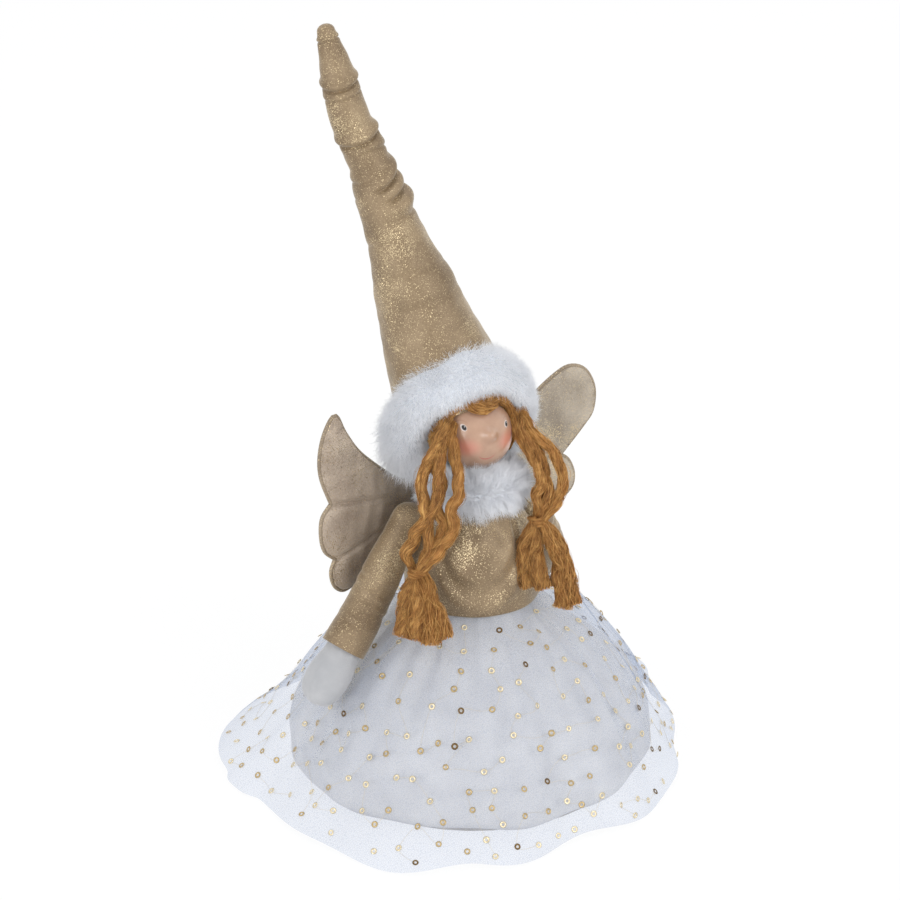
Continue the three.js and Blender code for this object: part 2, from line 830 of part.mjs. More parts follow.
// Places on each lobe, from the root seam's top round to its foot, as shares of the wing's reach and height.
const wingLobeShares = {
  right: [
    [
      [0.23, 0.1],
      [0.37, 0.16],
      [0.553, 0.31],
      [0.672, 0.42],
      [0.77, 0.545],
      [0.85, 0.59],
      [0.932, 0.521],
      [0.981, 0.4],
      [0.973, 0.278],
      [0.894, 0.119],
    ],
    [
      [0.894, 0.119],
      [0.972, 0.054],
      [0.984, -0.046],
      [0.953, -0.132],
      [0.869, -0.195],
    ],
    [
      [0.869, -0.195],
      [0.905, -0.262],
      [0.882, -0.339],
      [0.822, -0.383],
      [0.753, -0.384],
      [0.629, -0.34],
      [0.446, -0.225],
      [0.2, -0.1],
    ],
  ],
  left: [
    [
      [0.23, 0.1],
      [0.36, 0.17],
      [0.46, 0.29],
      [0.583, 0.414],
      [0.757, 0.515],
      [0.87, 0.545],
      [0.98, 0.508],
      [1.05, 0.4],
      [1.042, 0.275],
      [0.974, 0.198],
      [0.799, 0.049],
    ],
    [
      [0.799, 0.049],
      [0.862, 0.008],
      [0.904, -0.077],
      [0.88, -0.16],
      [0.752, -0.235],
    ],
    [
      [0.752, -0.235],
      [0.745, -0.29],
      [0.68, -0.335],
      [0.593, -0.325],
      [0.47, -0.25],
      [0.2, -0.1],
    ],
  ],
};

function wingOutline(side) {
  const lobes = wingLobeShares[side].map((lobe) =>
    lobe.map(([out, rise]) => new THREE.Vector2(sides[side] * out * wingWidth, rise * wingHeight)),
  );
  lobes[lobes.length - 1].push(new THREE.Vector2(0, -wingRootHeight / 2));
  const path = new THREE.Path().moveTo(0, wingRootHeight / 2);
  lobes.forEach((lobe, i) => path.splineThru(i === 0 ? lobe : lobe.slice(1)));
  return path.getPoints(2);
}

// Turns a body made with the wing's plane facing front, about its root seam, and puts it on the patch.
function onWingSeam(geometry, side) {
  return geometry
    .rotateZ(-sides[side] * wingSweep[side] * degree)
    .translate(sides[side] * wingHingeAcross, wingOffset, wingCentreHeight);
}

// The padding stays this far inside the outline that the piping follows.
const wingMargin = pipingRadius + 2 * gap;

// Far end of each lobe's padding from the root seam and its half width, as shares of the reach and height.
const wingPadShares = {
  right: [
    [0.95, 0.47, 0.2],
    [0.97, -0.02, 0.14],
    [0.86, -0.34, 0.11],
  ],
  left: [
    [1.01, 0.42, 0.2],
    [0.88, -0.08, 0.13],
    [0.72, -0.3, 0.1],
  ],
};

// The outline as a plate square to Y, with its edge bevelled on both sides.
function wingPlate(side, thickness) {
  const plate = new THREE.ExtrudeGeometry(new THREE.Shape(wingOutline(side)), {
    depth: thickness / 2,
    bevelThickness: thickness / 4,
    bevelSize: wingEdgeWidth,
    bevelOffset: -wingEdgeWidth - wingMargin,
    bevelSegments: 1,
    curveSegments: 1,
  });
  return solidOf(plate.translate(-sides[side] * wingMargin, 0, -thickness / 4).rotateX(Math.PI / 2));
}

// An egg of padding from the root seam to a lobe's far end.
function lobePad(side, [out, rise, widthShare]) {
  const far = new THREE.Vector3(sides[side] * out * wingWidth, 0, rise * wingHeight);
  const pad = new THREE.SphereGeometry(1, 12, 8).rotateX(Math.PI / 2);
  pad.scale(widthShare * wingHeight, wingThickness / 2, far.length() / 2);
  const along = far.clone().normalize();
  const across = new THREE.Vector3(0, 1, 0).cross(along);
  pad.applyMatrix4(new THREE.Matrix4().makeBasis(across, new THREE.Vector3(0, 1, 0), along));
  return solidOf(pad.translate(far.x / 2, 0, far.z / 2));
}

function makeWing(side) {
  const pads = wingPadShares[side].map((pad) => lobePad(side, pad));
  const padding = pads.reduce((joined, pad) => joined.add(pad)).intersect(wingPlate(side, 2 * wingThickness));
  const seamEnd = wingRootHeight / 2 - wingMargin;
  const seam = solidOf(rod(wingEdgeThickness / 2, -seamEnd, seamEnd));
  const wing = wingPlate(side, wingEdgeThickness).add(padding).add(seam);
  return piece(`wing_${side}`, onWingSeam(geometryOf(wing), side), "gold_cloth");
}

function makeWingPiping(side) {
  const places = wingOutline(side).slice(1, -1);
  const path = new THREE.CatmullRomCurve3(
    places.map((place) => new THREE.Vector3(place.x - sides[side] * wingMargin, 0, place.y)),
  );
  const section = new THREE.Shape().absarc(0, 0, pipingRadius, 0, 2 * Math.PI);
  const tube = new THREE.ExtrudeGeometry(section, { steps: 44, curveSegments: 3, extrudePath: path });
  return piece(`wing_piping_${side}`, onWingSeam(tube, side), "gold_cloth");
}

function makeWingPatch() {
  const block = new THREE.BoxGeometry(patchWidth, bodiceRadius, patchHeight);
  const back = wingOffset + wingEdgeThickness;
  block.translate(0, back - bodiceRadius / 2, wingCentreHeight - patchHeight / 4);
  return piece("wing_patch", cutFrom(block, bodiceRoom(), collarBody(gap)), "gold_cloth");
}

// Braids. Each hangs from a ball at the hair's side, narrows to a tied neck, and ends in a loose tassel.

const braidSegments = 16;

// Places on the braid from its top, as shares of the braid's length.
const braidPathShares = {
  right: [
    [-0.26, -0.2, -0.955],
    [-0.1, -0.17, -0.52],
    [0, 0, 0],
  ],
  left: [
    [0, -0.29, -0.93],
    [0.1, -0.16, -0.44],
    [0, 0, 0],
  ],
};

// The tassel's end from the neck, as shares of the tassel's length.
const tasselEndShares = { right: [-0.06, -0.36, -0.93], left: [-0.03, -0.33, -0.94] };

// First number: share of the braid's length from the neck. Second: share of its full width.
const braidOutlineShares = [
  [0.24, 0.86],
  [0.45, 1],
  [0.7, 0.9],
];

function braidTop(side) {
  const turn = braidForwardTurn * degree;
  const distance = hairOuterRadius + gap + braidTopRadius;
  const offset = new THREE.Vector3(sides[side] * Math.cos(turn), -Math.sin(turn), 0);
  return hairCentre.clone().addScaledVector(offset, distance);
}

function braidCurve(side) {
  const places = braidPathShares[side].map((shares) =>
    new THREE.Vector3(...shares).multiplyScalar(braidLengths[side]).add(braidTop(side)),
  );
  return new THREE.CatmullRomCurve3(places);
}

function makeBraid(side) {
  const curve = braidCurve(side);
  const yaw = braidYaw[side] * degree;
  const ringAt = (share, halfWidth, halfThickness) => {
    const centre = curve.getPointAt(share);
    return crossRing(braidSegments, centre, curve.getTangentAt(share), halfWidth, halfThickness, yaw);
  };
  const neckShare = (tieThickness + gap) / braidLengths[side];
  const neck = [0, neckShare].map((share) => ringAt(share, braidNeckRadius, braidNeckRadius));
  const swell = braidOutlineShares.map(([along, width]) =>
    ringAt(along, (braidWidth / 2) * width, (braidThickness / 2) * width),
  );
  const crown = [0, ...crownElevations].map((elevation) => {
    const rise = braidTopRadius * Math.sin(elevation * degree);
    const around = braidTopRadius * Math.cos(elevation * degree);
    const centre = braidTop(side).addScaledVector(curve.getTangentAt(1), rise);
    return crossRing(braidSegments, centre, curve.getTangentAt(1), around, around, yaw);
  });
  return piece(`braid_${side}`, skin([...neck, ...swell, ...crown]), "wool");
}

function makeBraidTie(side) {
  const curve = braidCurve(side);
  const tube = tieThickness / 2;
  const along = curve.getTangentAt(0);
  const centre = curve.getPointAt(0).addScaledVector(along, tube);
  const tie = new THREE.TorusGeometry(braidNeckRadius + gap + tube, tube, 6, braidSegments);
  tie.applyQuaternion(new THREE.Quaternion().setFromUnitVectors(upright, along));
  return piece(`braid_tie_${side}`, tie.translate(centre.x, centre.y, centre.z), "wool");
}

// First number: share of the tassel's length from its end. Second: share of its full width.
const tasselOutlineShares = [
  [0, 1],
  [0.4, 0.8],
  [0.75, 0.5],
];

function makeTassel(side) {
  const yaw = braidYaw[side] * degree;
  const curve = braidCurve(side);
  const neckUp = curve.getTangentAt(0);
  const start = curve.getPointAt(0).addScaledVector(neckUp, -gap);
  const up = new THREE.Vector3(...tasselEndShares[side]).normalize().negate();
  const end = start.clone().addScaledVector(up, -tasselLengths[side]);
  const fan = tasselOutlineShares.map(([along, width]) => {
    const centre = end.clone().lerp(start, along);
    return crossRing(braidSegments, centre, up, (tasselWidths[side] / 2) * width, tasselThickness / 2, yaw);
  });
  const neck = crossRing(braidSegments, start, neckUp, braidNeckRadius, braidNeckRadius, yaw);
  return piece(`tassel_${side}`, skin([...fan, neck]), "wool");
}

const topper = new THREE.Group();
topper.add(makeBaseRing(), makeCone(), makeConeTopDisc());
topper.add(makeUnderskirt(), makeNetSkirt(), makeWaistTie());
topper.add(makeTorsoCover(), makeTorsoFilling(), makeDowel(), makeCollar());
topper.add(makeHead(), makeHair(), makeBrim());
topper.add(makeLowerHat(), makeHatFilling(), makeMiddleHat(), makeTipHat(), ...makeWires());
topper.add(makeWingPatch());
for (const side of ["right", "left"]) {
  topper.add(...makeArm(side), makeWing(side), makeWingPiping(side));
  topper.add(makeBraid(side), makeBraidTie(side), makeTassel(side));
}

export default topper;
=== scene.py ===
import json
import math
import bpy
import numpy as np
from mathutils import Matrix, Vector


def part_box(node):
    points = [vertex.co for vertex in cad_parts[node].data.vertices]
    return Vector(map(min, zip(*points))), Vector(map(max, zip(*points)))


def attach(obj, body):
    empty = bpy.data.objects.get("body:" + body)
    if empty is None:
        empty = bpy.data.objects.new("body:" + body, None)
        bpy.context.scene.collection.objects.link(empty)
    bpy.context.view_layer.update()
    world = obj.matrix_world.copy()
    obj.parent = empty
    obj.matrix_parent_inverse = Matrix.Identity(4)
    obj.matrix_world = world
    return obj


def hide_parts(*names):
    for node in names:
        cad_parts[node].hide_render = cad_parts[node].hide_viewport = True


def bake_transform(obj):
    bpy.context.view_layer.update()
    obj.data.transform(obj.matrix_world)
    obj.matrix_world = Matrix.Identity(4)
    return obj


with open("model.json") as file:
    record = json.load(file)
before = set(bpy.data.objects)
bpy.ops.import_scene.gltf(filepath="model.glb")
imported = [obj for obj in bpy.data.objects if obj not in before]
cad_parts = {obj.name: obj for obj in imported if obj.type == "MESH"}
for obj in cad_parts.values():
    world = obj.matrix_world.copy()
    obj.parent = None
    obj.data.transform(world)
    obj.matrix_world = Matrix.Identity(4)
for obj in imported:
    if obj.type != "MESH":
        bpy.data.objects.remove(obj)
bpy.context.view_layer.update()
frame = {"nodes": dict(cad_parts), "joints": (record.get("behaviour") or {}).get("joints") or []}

# Metres, +Z up. The doll faces -Y and its own left is +X, as in the frame.

mm = 0.001
circle = 2 * math.pi
upright = np.array([0.0, 0.0, 1.0])
sides = {"right": -1, "left": 1}
hinges = {joint["name"]: np.array(joint["pos_m"]) for joint in frame["joints"]}


# Small helpers


def unit(vectors):
    return vectors / np.linalg.norm(vectors, axis=-1, keepdims=True)


def box(node):
    low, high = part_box(node)
    return np.array(low), np.array(high)


def angles(count):
    """Evenly spaced angles round a circle, from 0."""
    return np.arange(count) / count * circle


def level_ring(turn):
    """Level directions at angles from +X."""
    return np.stack([np.cos(turn), np.sin(turn), np.zeros(len(turn))], -1)


def angle_from(middle, turn):
    """How far turn is from middle, within half a circle either way."""
    return (turn - middle + math.pi) % circle - math.pi


def hill(x, width, power=2):
    """1 where x is 0, falling to 0 beyond a width. A higher power gives a flatter top."""
    return np.exp(-((x / width) ** power))


# Places and sizes read from the frame

head_low, head_high = box("head")
head_radius = (head_high[0] - head_low[0]) / 2
head_centre = np.array([0, 0, head_high[2] - head_radius])
nose_front = head_low[1]
bodice_low, bodice_high = box("torso_cover")
bodice_radius = bodice_high[0]
bodice_height = bodice_high[2] - bodice_low[2]
skirt_low, skirt_high = box("underskirt")
skirt_bottom = skirt_low[2]
skirt_height = skirt_high[2] - skirt_low[2]
cone_radius = box("support_cone")[1][0]
cone_top_radius = box("cone_top_disc")[1][0]
hair_high = box("hair_cap")[1]
collar_high = box("fur_collar")[1]
brim_high = box("hat_brim")[1]


# Camera and stage

camera_azimuth = math.radians(-25)
camera_elevation = math.radians(24)
camera_distance = 1.2
camera_lens_mm = 107
look_at = Vector((-0.00941, 0.00439, 0.15397))
view_right = np.array([math.cos(camera_azimuth), math.sin(camera_azimuth), 0])
view_near = np.array([math.sin(camera_azimuth), -math.cos(camera_azimuth), 0])
floor_half_width = 3.0

# Each lamp's place, width and power in watts.
lamps = {
    "key_lamp": ((0.8, -2.1, 1.2), 1.4, 18),
    "side_lamp": ((-1.9, -0.9, 0.55), 1.2, 13),
    "top_lamp": ((0.2, 0.5, 2.2), 1.4, 8),
}


def add_camera():
    camera = bpy.data.objects.new("camera", bpy.data.cameras.new("camera"))
    bpy.context.collection.objects.link(camera)
    camera.data.lens = camera_lens_mm
    back = Vector(view_near * math.cos(camera_elevation) + upright * math.sin(camera_elevation))
    camera.location = look_at + back * camera_distance
    camera.rotation_euler = back.to_track_quat("Z", "Y").to_euler()
    bpy.context.scene.camera = camera


def add_lamps():
    for name, (place, width, power) in lamps.items():
        lamp = bpy.data.objects.new(name, bpy.data.lights.new(name, "AREA"))
        bpy.context.collection.objects.link(lamp)
        lamp.data.size = width
        lamp.data.energy = power
        lamp.location = place
        lamp.rotation_euler = (Vector(place) - look_at).to_track_quat("Z", "Y").to_euler()


# Shader helpers


def new_tree(name):
    material = bpy.data.materials.new(name)
    material.use_nodes = True
    material.node_tree.nodes.clear()
    return material, material.node_tree


def node(tree, kind, values=None, **settings):
    """A shader node. Values go by socket: a socket is linked, anything else is set on the node."""
    made = tree.nodes.new("ShaderNode" + kind)
    for key, value in settings.items():
        setattr(made, key, value)
    for key, value in (values or {}).items():
        socket = made.inputs[key]
        if isinstance(value, bpy.types.NodeSocket):
            tree.links.new(value, socket)
        else:
            socket.default_value = value
    return made


def maths(tree, operation, *values):
    return node(tree, "Math", dict(enumerate(values)), operation=operation).outputs[0]


def times(tree, first, second):
    return maths(tree, "MULTIPLY", first, second)


def plus(tree, first, second):
    return maths(tree, "ADD", first, second)


def minus(tree, first, second):
    return maths(tree, "SUBTRACT", first, second)


def vector_maths(tree, operation, *values):
    return node(tree, "VectorMath", dict(enumerate(values)), operation=operation).outputs[0]


def srgb(red, green, blue):
    """A linear colour from the 0 to 255 values that a picture shows."""
    shares = np.array([red, green, blue]) / 255
    linear = np.where(shares <= 0.04045, shares / 12.92, ((shares + 0.055) / 1.055) ** 2.4)
    return (*linear.tolist(), 1.0)


def ramp(tree, factor, stops):
    made = node(tree, "ValToRGB", {0: factor})
    elements = made.color_ramp.elements
    while len(elements) < len(stops):
        elements.new(0.5)
    for element, (place, colour) in zip(elements, stops):
        element.position = place
        element.color = colour
    return made.outputs[0]


def two_tone(tree, factor, low, high, start=0.3):
    """A colour that runs from low to high, even below the start and as far from the end."""
    return ramp(tree, factor, [(start, low), (1 - start, high)])


def mask(tree, factor, low, high):
    """A smooth step from 0 at low to 1 at high."""
    made = node(tree, "MapRange", {"Value": factor, "From Min": low, "From Max": high})
    made.interpolation_type = "SMOOTHSTEP"
    return made.outputs[0]


def mixed(tree, factor, first, second):
    return node(tree, "Mix", {0: factor, 6: first, 7: second}, data_type="RGBA").outputs[2]


def layered(tree, factor, first, second):
    """A mix of two shaders."""
    return node(tree, "MixShader", {0: factor, 1: first, 2: second}).outputs[0]


def place_of(tree):
    return node(tree, "TexCoord").outputs["Object"]


def noise(tree, place, size, detail=2.0):
    """Noise whose features are about size across."""
    return node(tree, "TexNoise", {"Vector": place, "Scale": 1 / size, "Detail": detail}).outputs["Fac"]


def bump(tree, height, depth):
    return node(tree, "Bump", {"Height": height, "Distance": depth, "Strength": 1.0}).outputs[0]


def principled(tree, colour, finish):
    """A surface of one colour. The finish has its other values by socket."""
    return node(tree, "BsdfPrincipled", {"Base Color": colour, **finish}).outputs[0]


def finish_material(material, tree, shader):
    output = node(tree, "OutputMaterial")
    tree.links.new(shader, output.inputs["Surface"])
    return material


def seen_directly(tree):
    """1 for the camera's rays and those that mirrors and glass pass on."""
    rays = node(tree, "LightPath").outputs
    seen = maths(tree, "MAXIMUM", rays["Is Camera Ray"], rays["Is Glossy Ray"])
    return maths(tree, "MAXIMUM", seen, rays["Is Transmission Ray"])


# Materials


def gold_cloth_material(name, glitter=1.0, dark=(108, 88, 63), light=(150, 129, 100)):
    """Suede-like cloth with a nap, mottled, and strewn with fine gold foil in patches."""
    material, tree = new_tree(name)
    place = place_of(tree)
    mottle = noise(tree, place, 16 * mm, 3)
    nap = noise(tree, place, 0.7 * mm, 3)
    weave = noise(tree, place, 0.3 * mm, 1)
    tone = plus(tree, times(tree, mottle, 0.65), times(tree, nap, 0.35))
    colour = two_tone(tree, tone, srgb(*dark), srgb(*light), 0.34)
    relief = plus(tree, nap, times(tree, weave, 0.5))
    cloth = principled(tree, colour, {
        "Normal": bump(tree, relief, 0.1 * mm), "Roughness": 0.52, "Metallic": 0.2,
        "Sheen Weight": 0.45, "Sheen Roughness": 0.4, "Sheen Tint": srgb(255, 246, 230),
    })
    # Each flake of foil leans its own way, and more of them lie in the patches.
    flakes = node(tree, "TexVoronoi", {"Vector": place, "Scale": 1 / (0.26 * mm)}).outputs["Color"]
    tilt = vector_maths(tree, "SUBTRACT", flakes, (0.5, 0.5, 0.5))
    normal = node(tree, "NewGeometry").outputs["Normal"]
    lean = vector_maths(tree, "ADD", normal, vector_maths(tree, "MULTIPLY", tilt, (0.8, 0.8, 0.8)))
    lean = vector_maths(tree, "NORMALIZE", lean)
    foil = principled(tree, srgb(222, 202, 164), {"Normal": lean, "Metallic": 1.0, "Roughness": 0.42})
    patches = mask(tree, noise(tree, place, 22 * mm, 2), 0.48, 0.68)
    spread = minus(tree, 0.955, times(tree, patches, 0.26 * glitter))
    pick = node(tree, "SeparateColor", {0: flakes}).outputs[0]
    chosen = maths(tree, "GREATER_THAN", pick, spread)
    return finish_material(material, tree, layered(tree, chosen, cloth, foil))


def grained_material(name, low, high, tone, relief, finish):
    """Two near tones and a fine relief. Tone is a size and detail, relief a size, detail and depth."""
    material, tree = new_tree(name)
    place = place_of(tree)
    colour = two_tone(tree, noise(tree, place, *tone), low, high)
    normal = bump(tree, noise(tree, place, *relief[:2]), relief[2])
    return finish_material(material, tree, principled(tree, colour, {"Normal": normal, **finish}))


def white_cloth_material(name, light, dark, weave_size):
    """Soft brushed white cloth, a little uneven."""
    finish = {"Roughness": 0.85, "Sheen Weight": 0.3}
    relief = (weave_size, 2, 0.15 * mm)
    return grained_material(name, srgb(*dark), srgb(*light), (11 * mm, 3), relief, finish)


def foil_material(name, *colour):
    """Metal foil with fine scratches and a slightly uneven tone."""
    low = srgb(*colour)
    high = tuple(min(1.0, 1.25 * value) for value in low)
    finish = {"Metallic": 0.85, "Roughness": 0.28}
    return grained_material(name, low, high, (1.5 * mm, 2), (0.2 * mm, 2, 0.02 * mm), finish)


def wire_material():
    grain = (0.5 * mm, 3)
    finish = {"Metallic": 1.0, "Roughness": 0.4}
    tones = srgb(130, 130, 132), srgb(172, 172, 176)
    return grained_material("soft_wire", *tones, grain, (*grain, 0.02 * mm), finish)


def thread_material():
    material, tree = new_tree("gold_thread")
    tone = noise(tree, place_of(tree), 0.8 * mm, 2)
    colour = two_tone(tree, tone, srgb(186, 170, 140), srgb(226, 214, 188))
    shader = principled(tree, colour, {"Metallic": 0.3, "Roughness": 0.45})
    return finish_material(material, tree, shader)


def card_material():
    material, tree = new_tree("grey_card")
    place = place_of(tree)
    fibres = noise(tree, place, 1.2 * mm, 5)
    mix = plus(tree, times(tree, fibres, 0.5), times(tree, noise(tree, place, 18 * mm, 3), 0.5))
    colour = two_tone(tree, mix, srgb(186, 176, 160), srgb(214, 206, 192), 0.35)
    shader = principled(tree, colour, {"Normal": bump(tree, fibres, 0.08 * mm), "Roughness": 0.9})
    return finish_material(material, tree, shader)


def wood_material():
    """Plain wood whose grain runs upright."""
    material, tree = new_tree("plain_wood")
    stretched = vector_maths(tree, "MULTIPLY", place_of(tree), (1, 1, 0.08))
    grain = noise(tree, stretched, 0.6 * mm, 4)
    colour = two_tone(tree, grain, srgb(176, 140, 96), srgb(214, 184, 138), 0.35)
    shader = principled(tree, colour, {"Normal": bump(tree, grain, 0.05 * mm), "Roughness": 0.6})
    return finish_material(material, tree, shader)


def pile_material(name, shadow_clear):
    """White plush pile: light passes through the thin fibres, also to what lies under them."""
    material, tree = new_tree(name)
    tone = noise(tree, place_of(tree), 3 * mm, 2)
    colour = two_tone(tree, tone, (0.9, 0.91, 0.93, 1), (0.97, 0.975, 0.99, 1))
    solid = principled(tree, colour, {"Roughness": 0.7})
    through = node(tree, "BsdfTranslucent", {"Color": colour}).outputs[0]
    fibre = layered(tree, 0.55, solid, through)
    clear = node(tree, "BsdfTransparent").outputs[0]
    shadow = times(tree, node(tree, "LightPath").outputs["Is Shadow Ray"], shadow_clear)
    return finish_material(material, tree, layered(tree, shadow, fibre, clear))


def wool_material():
    """Ochre wool roving: each fibre has its own tone, and light passes through the fuzz."""
    material, tree = new_tree("ochre_wool")
    place = place_of(tree)
    tone = times(tree, noise(tree, place, 3.2 * mm, 3), 0.6)
    fibre = times(tree, node(tree, "NewGeometry").outputs["Random Per Island"], 0.4)
    stops = [(0.25, srgb(144, 92, 41)), (0.5, srgb(200, 140, 72)), (0.75, srgb(240, 192, 114))]
    colour = ramp(tree, plus(tree, tone, fibre), stops)
    fuzz = noise(tree, place, 0.25 * mm, 2)
    solid = principled(tree, colour, {
        "Normal": bump(tree, fuzz, 0.08 * mm), "Roughness": 0.6,
        "Sheen Weight": 0.5, "Sheen Tint": srgb(244, 206, 146),
    })
    through = node(tree, "BsdfTranslucent", {"Color": colour}).outputs[0]
    return finish_material(material, tree, layered(tree, 0.3, solid, through))


def net_material():
    """Fine net: mostly clear between thin bluish threads, denser where seen along."""
    material, tree = new_tree("fine_net")
    place = place_of(tree)
    cells = node(tree, "TexVoronoi", {"Vector": place, "Scale": 1 / (0.8 * mm)}, feature="DISTANCE_TO_EDGE")
    threads = maths(tree, "LESS_THAN", cells.outputs["Distance"], 0.09)
    facing = node(tree, "LayerWeight", {"Blend": 0.35}).outputs["Facing"]
    along = times(tree, maths(tree, "POWER", facing, 2.0), 0.3)
    cover = plus(tree, plus(tree, along, times(tree, threads, 0.13)), 0.24)
    tone = noise(tree, place, 30 * mm)
    colour = two_tone(tree, tone, srgb(146, 162, 192), srgb(168, 182, 208))
    clear = node(tree, "BsdfTransparent").outputs[0]
    solid = principled(tree, colour, {"Roughness": 0.5})
    return finish_material(material, tree, layered(tree, cover, clear, solid))


# The painted face: places and radii on the ball in millimetres, across and up from its middle.

eye_places = [(-10.2, 8.3), (10.2, 6.8)]
eye_radii = (1.15, 1.32)
pupil_shift = (0.15, -0.05)
pupil_radii = (0.85, 1.05)
glint_shift = (0.4, 0.35)
glint_radii = (0.16, 0.16)
lid_arcs = [((0, 0.9), (2.1, 1.9)), ((0, 0.55), (2.2, 1.9))]
cheek_places = [(-10.4, -0.6), (10.4, 0.2)]
cheek_radii = (4.8, 3.4)
mouth_place = (-1.0, -5.9)
mouth_arcs = [((0, 2.1), (3.9, 3.0)), ((0, 2.6), (4.2, 3.0))]


def painted_face_material():
    material, tree = new_tree("painted_face")
    place = place_of(tree)
    across, depth, height = node(tree, "SeparateXYZ", {0: place}).outputs
    up = minus(tree, height, float(head_centre[2]))
    front = mask(tree, depth, -2 * mm, -4 * mm)
    tone = noise(tree, place, 6 * mm, 3)

    def oval(middle, shift, radii, soft):
        """1 inside an oval on the face, 0 outside, soft at its edge."""
        offsets = (minus(tree, at, (m + s) * mm) for at, m, s in zip((across, up), middle, shift))
        x, z = (maths(tree, "DIVIDE", offset, r * mm) for offset, r in zip(offsets, radii))
        distance = plus(tree, maths(tree, "POWER", x, 2.0), maths(tree, "POWER", z, 2.0))
        return mask(tree, maths(tree, "SQRT", distance), 1 + soft, 1 - soft)

    def arc(middle, arcs, soft):
        """The crescent of the first oval that the second leaves free."""
        outer, inner = (oval(middle, shift, radii, soft) for shift, radii in arcs)
        return times(tree, minus(tree, 1.0, inner), outer)

    def painted(colour, shape, tint, strength=1.0):
        return mixed(tree, times(tree, times(tree, shape, strength), front), colour, srgb(*tint))

    colour = two_tone(tree, tone, srgb(168, 132, 109), srgb(182, 147, 123))
    for cheek in cheek_places:
        colour = painted(colour, oval(cheek, (0, 0), cheek_radii, 0.8), (214, 122, 106), 0.5)
    pupils = []
    for eye in eye_places:
        colour = painted(colour, oval(eye, (0, 0), eye_radii, 0.15), (216, 206, 200))
        pupils.append(oval(eye, pupil_shift, pupil_radii, 0.15))
        colour = painted(colour, pupils[-1], (26, 17, 15))
        colour = painted(colour, oval(eye, glint_shift, glint_radii, 0.3), (225, 225, 225))
        colour = painted(colour, arc(eye, lid_arcs, 0.06), (150, 96, 70), 0.3)
    colour = painted(colour, arc(mouth_place, mouth_arcs, 0.08), (178, 82, 76))
    brush = noise(tree, place, 1.6 * mm, 2)
    # The varnish leaves out the pupils.
    varnish = minus(tree, 1.0, times(tree, plus(tree, *pupils), front))
    shader = principled(tree, colour, {
        "Normal": bump(tree, brush, 0.05 * mm), "Roughness": 0.3,
        "Coat Weight": times(tree, varnish, 0.5), "Coat Roughness": 0.12,
    })
    return finish_material(material, tree, shader)


def floor_material():
    """Pale floor that shows as white to the camera, but for the object's shadow."""
    material, tree = new_tree("pale_floor")
    plain = node(tree, "BsdfDiffuse", {"Color": (0.97, 0.97, 0.97, 1)}).outputs[0]
    glow = node(tree, "Emission", {"Color": (1, 1, 1, 1), "Strength": 1.0}).outputs[0]
    share = times(tree, seen_directly(tree), 0.86)
    return finish_material(material, tree, layered(tree, share, plain, glow))


def set_world():
    """Soft daylight all round, which shows as plain white behind the object."""
    world = bpy.data.worlds.new("studio")
    bpy.context.scene.world = world
    world.use_nodes = True
    tree = world.node_tree
    tree.nodes.clear()
    soft = node(tree, "Background", {"Color": (0.98, 0.99, 1.0, 1), "Strength": 0.88}).outputs[0]
    white = node(tree, "Background", {"Color": (1, 1, 1, 1), "Strength": 1.0}).outputs[0]
    output = node(tree, "OutputWorld")
    tree.links.new(layered(tree, seen_directly(tree), soft, white), output.inputs["Surface"])


def add_stage():
    corners = [(-1, -1, 0), (1, -1, 0), (1, 1, 0), (-1, 1, 0)]
    points = np.array(corners) * floor_half_width
    add_piece("floor", points, [np.array([[0, 1, 2, 3]])], floor_material())
    set_world()
    bpy.context.scene.view_settings.view_transform = "Standard"


# Mesh helpers


def add_piece(name, points, face_sets, *looks):
    """A mesh object from points and lists of faces, each list with one number of corners."""
    mesh = bpy.data.meshes.new(name)
    corners = np.concatenate([faces.ravel() for faces in face_sets])
    counts = np.concatenate([np.full(len(faces), faces.shape[1]) for faces in face_sets])
    mesh.vertices.add(len(points))
    mesh.vertices.foreach_set("co", np.asarray(points, float).ravel())
    mesh.loops.add(len(corners))
    mesh.loops.foreach_set("vertex_index", corners.astype(np.int32))
    mesh.polygons.add(len(counts))
    starts = np.concatenate([[0], np.cumsum(counts)[:-1]])
    mesh.polygons.foreach_set("loop_start", starts.astype(np.int32))
    mesh.update(calc_edges=True)
    mesh.shade_smooth()
    piece = bpy.data.objects.new(name, mesh)
    bpy.context.collection.objects.link(piece)
    for look in looks:
        mesh.materials.append(look)
    return piece


def dress(piece, slot, body, *replaced, fill=None):
    """Hides the solids that a piece stands for and hangs the piece on its body. The slot and the fill are not
    used.
    """
    if replaced:
        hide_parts(*replaced)
    if body:
        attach(piece, body)


def grid_faces(index):
    """Quads between the neighbours of a grid of point numbers, which closes along its last axis."""
    low, high = index[..., :-1, :], index[..., 1:, :]
    quads = np.stack([low, np.roll(low, -1, -1), np.roll(high, -1, -1), high], -1)
    return quads.reshape(-1, 4)


def loft(rings, around=False, closed=True):
    """Points and faces of a skin over rings, given as an array of rings by points by 3."""
    levels, count, _ = rings.shape
    index = np.arange(levels * count).reshape(levels, count)
    quads = grid_faces(np.vstack([index, index[:1]]) if around else index)
    points = rings.reshape(-1, 3)
    if around or not closed:
        return points, [quads]
    points = np.vstack([points, rings[0].mean(0), rings[-1].mean(0)])
    first, last = index[0], index[-1]
    foot = np.stack([np.full(count, levels * count), np.roll(first, -1), first], -1)
    crown = np.stack([np.full(count, levels * count + 1), last, np.roll(last, -1)], -1)
    return points, [quads, foot, crown]


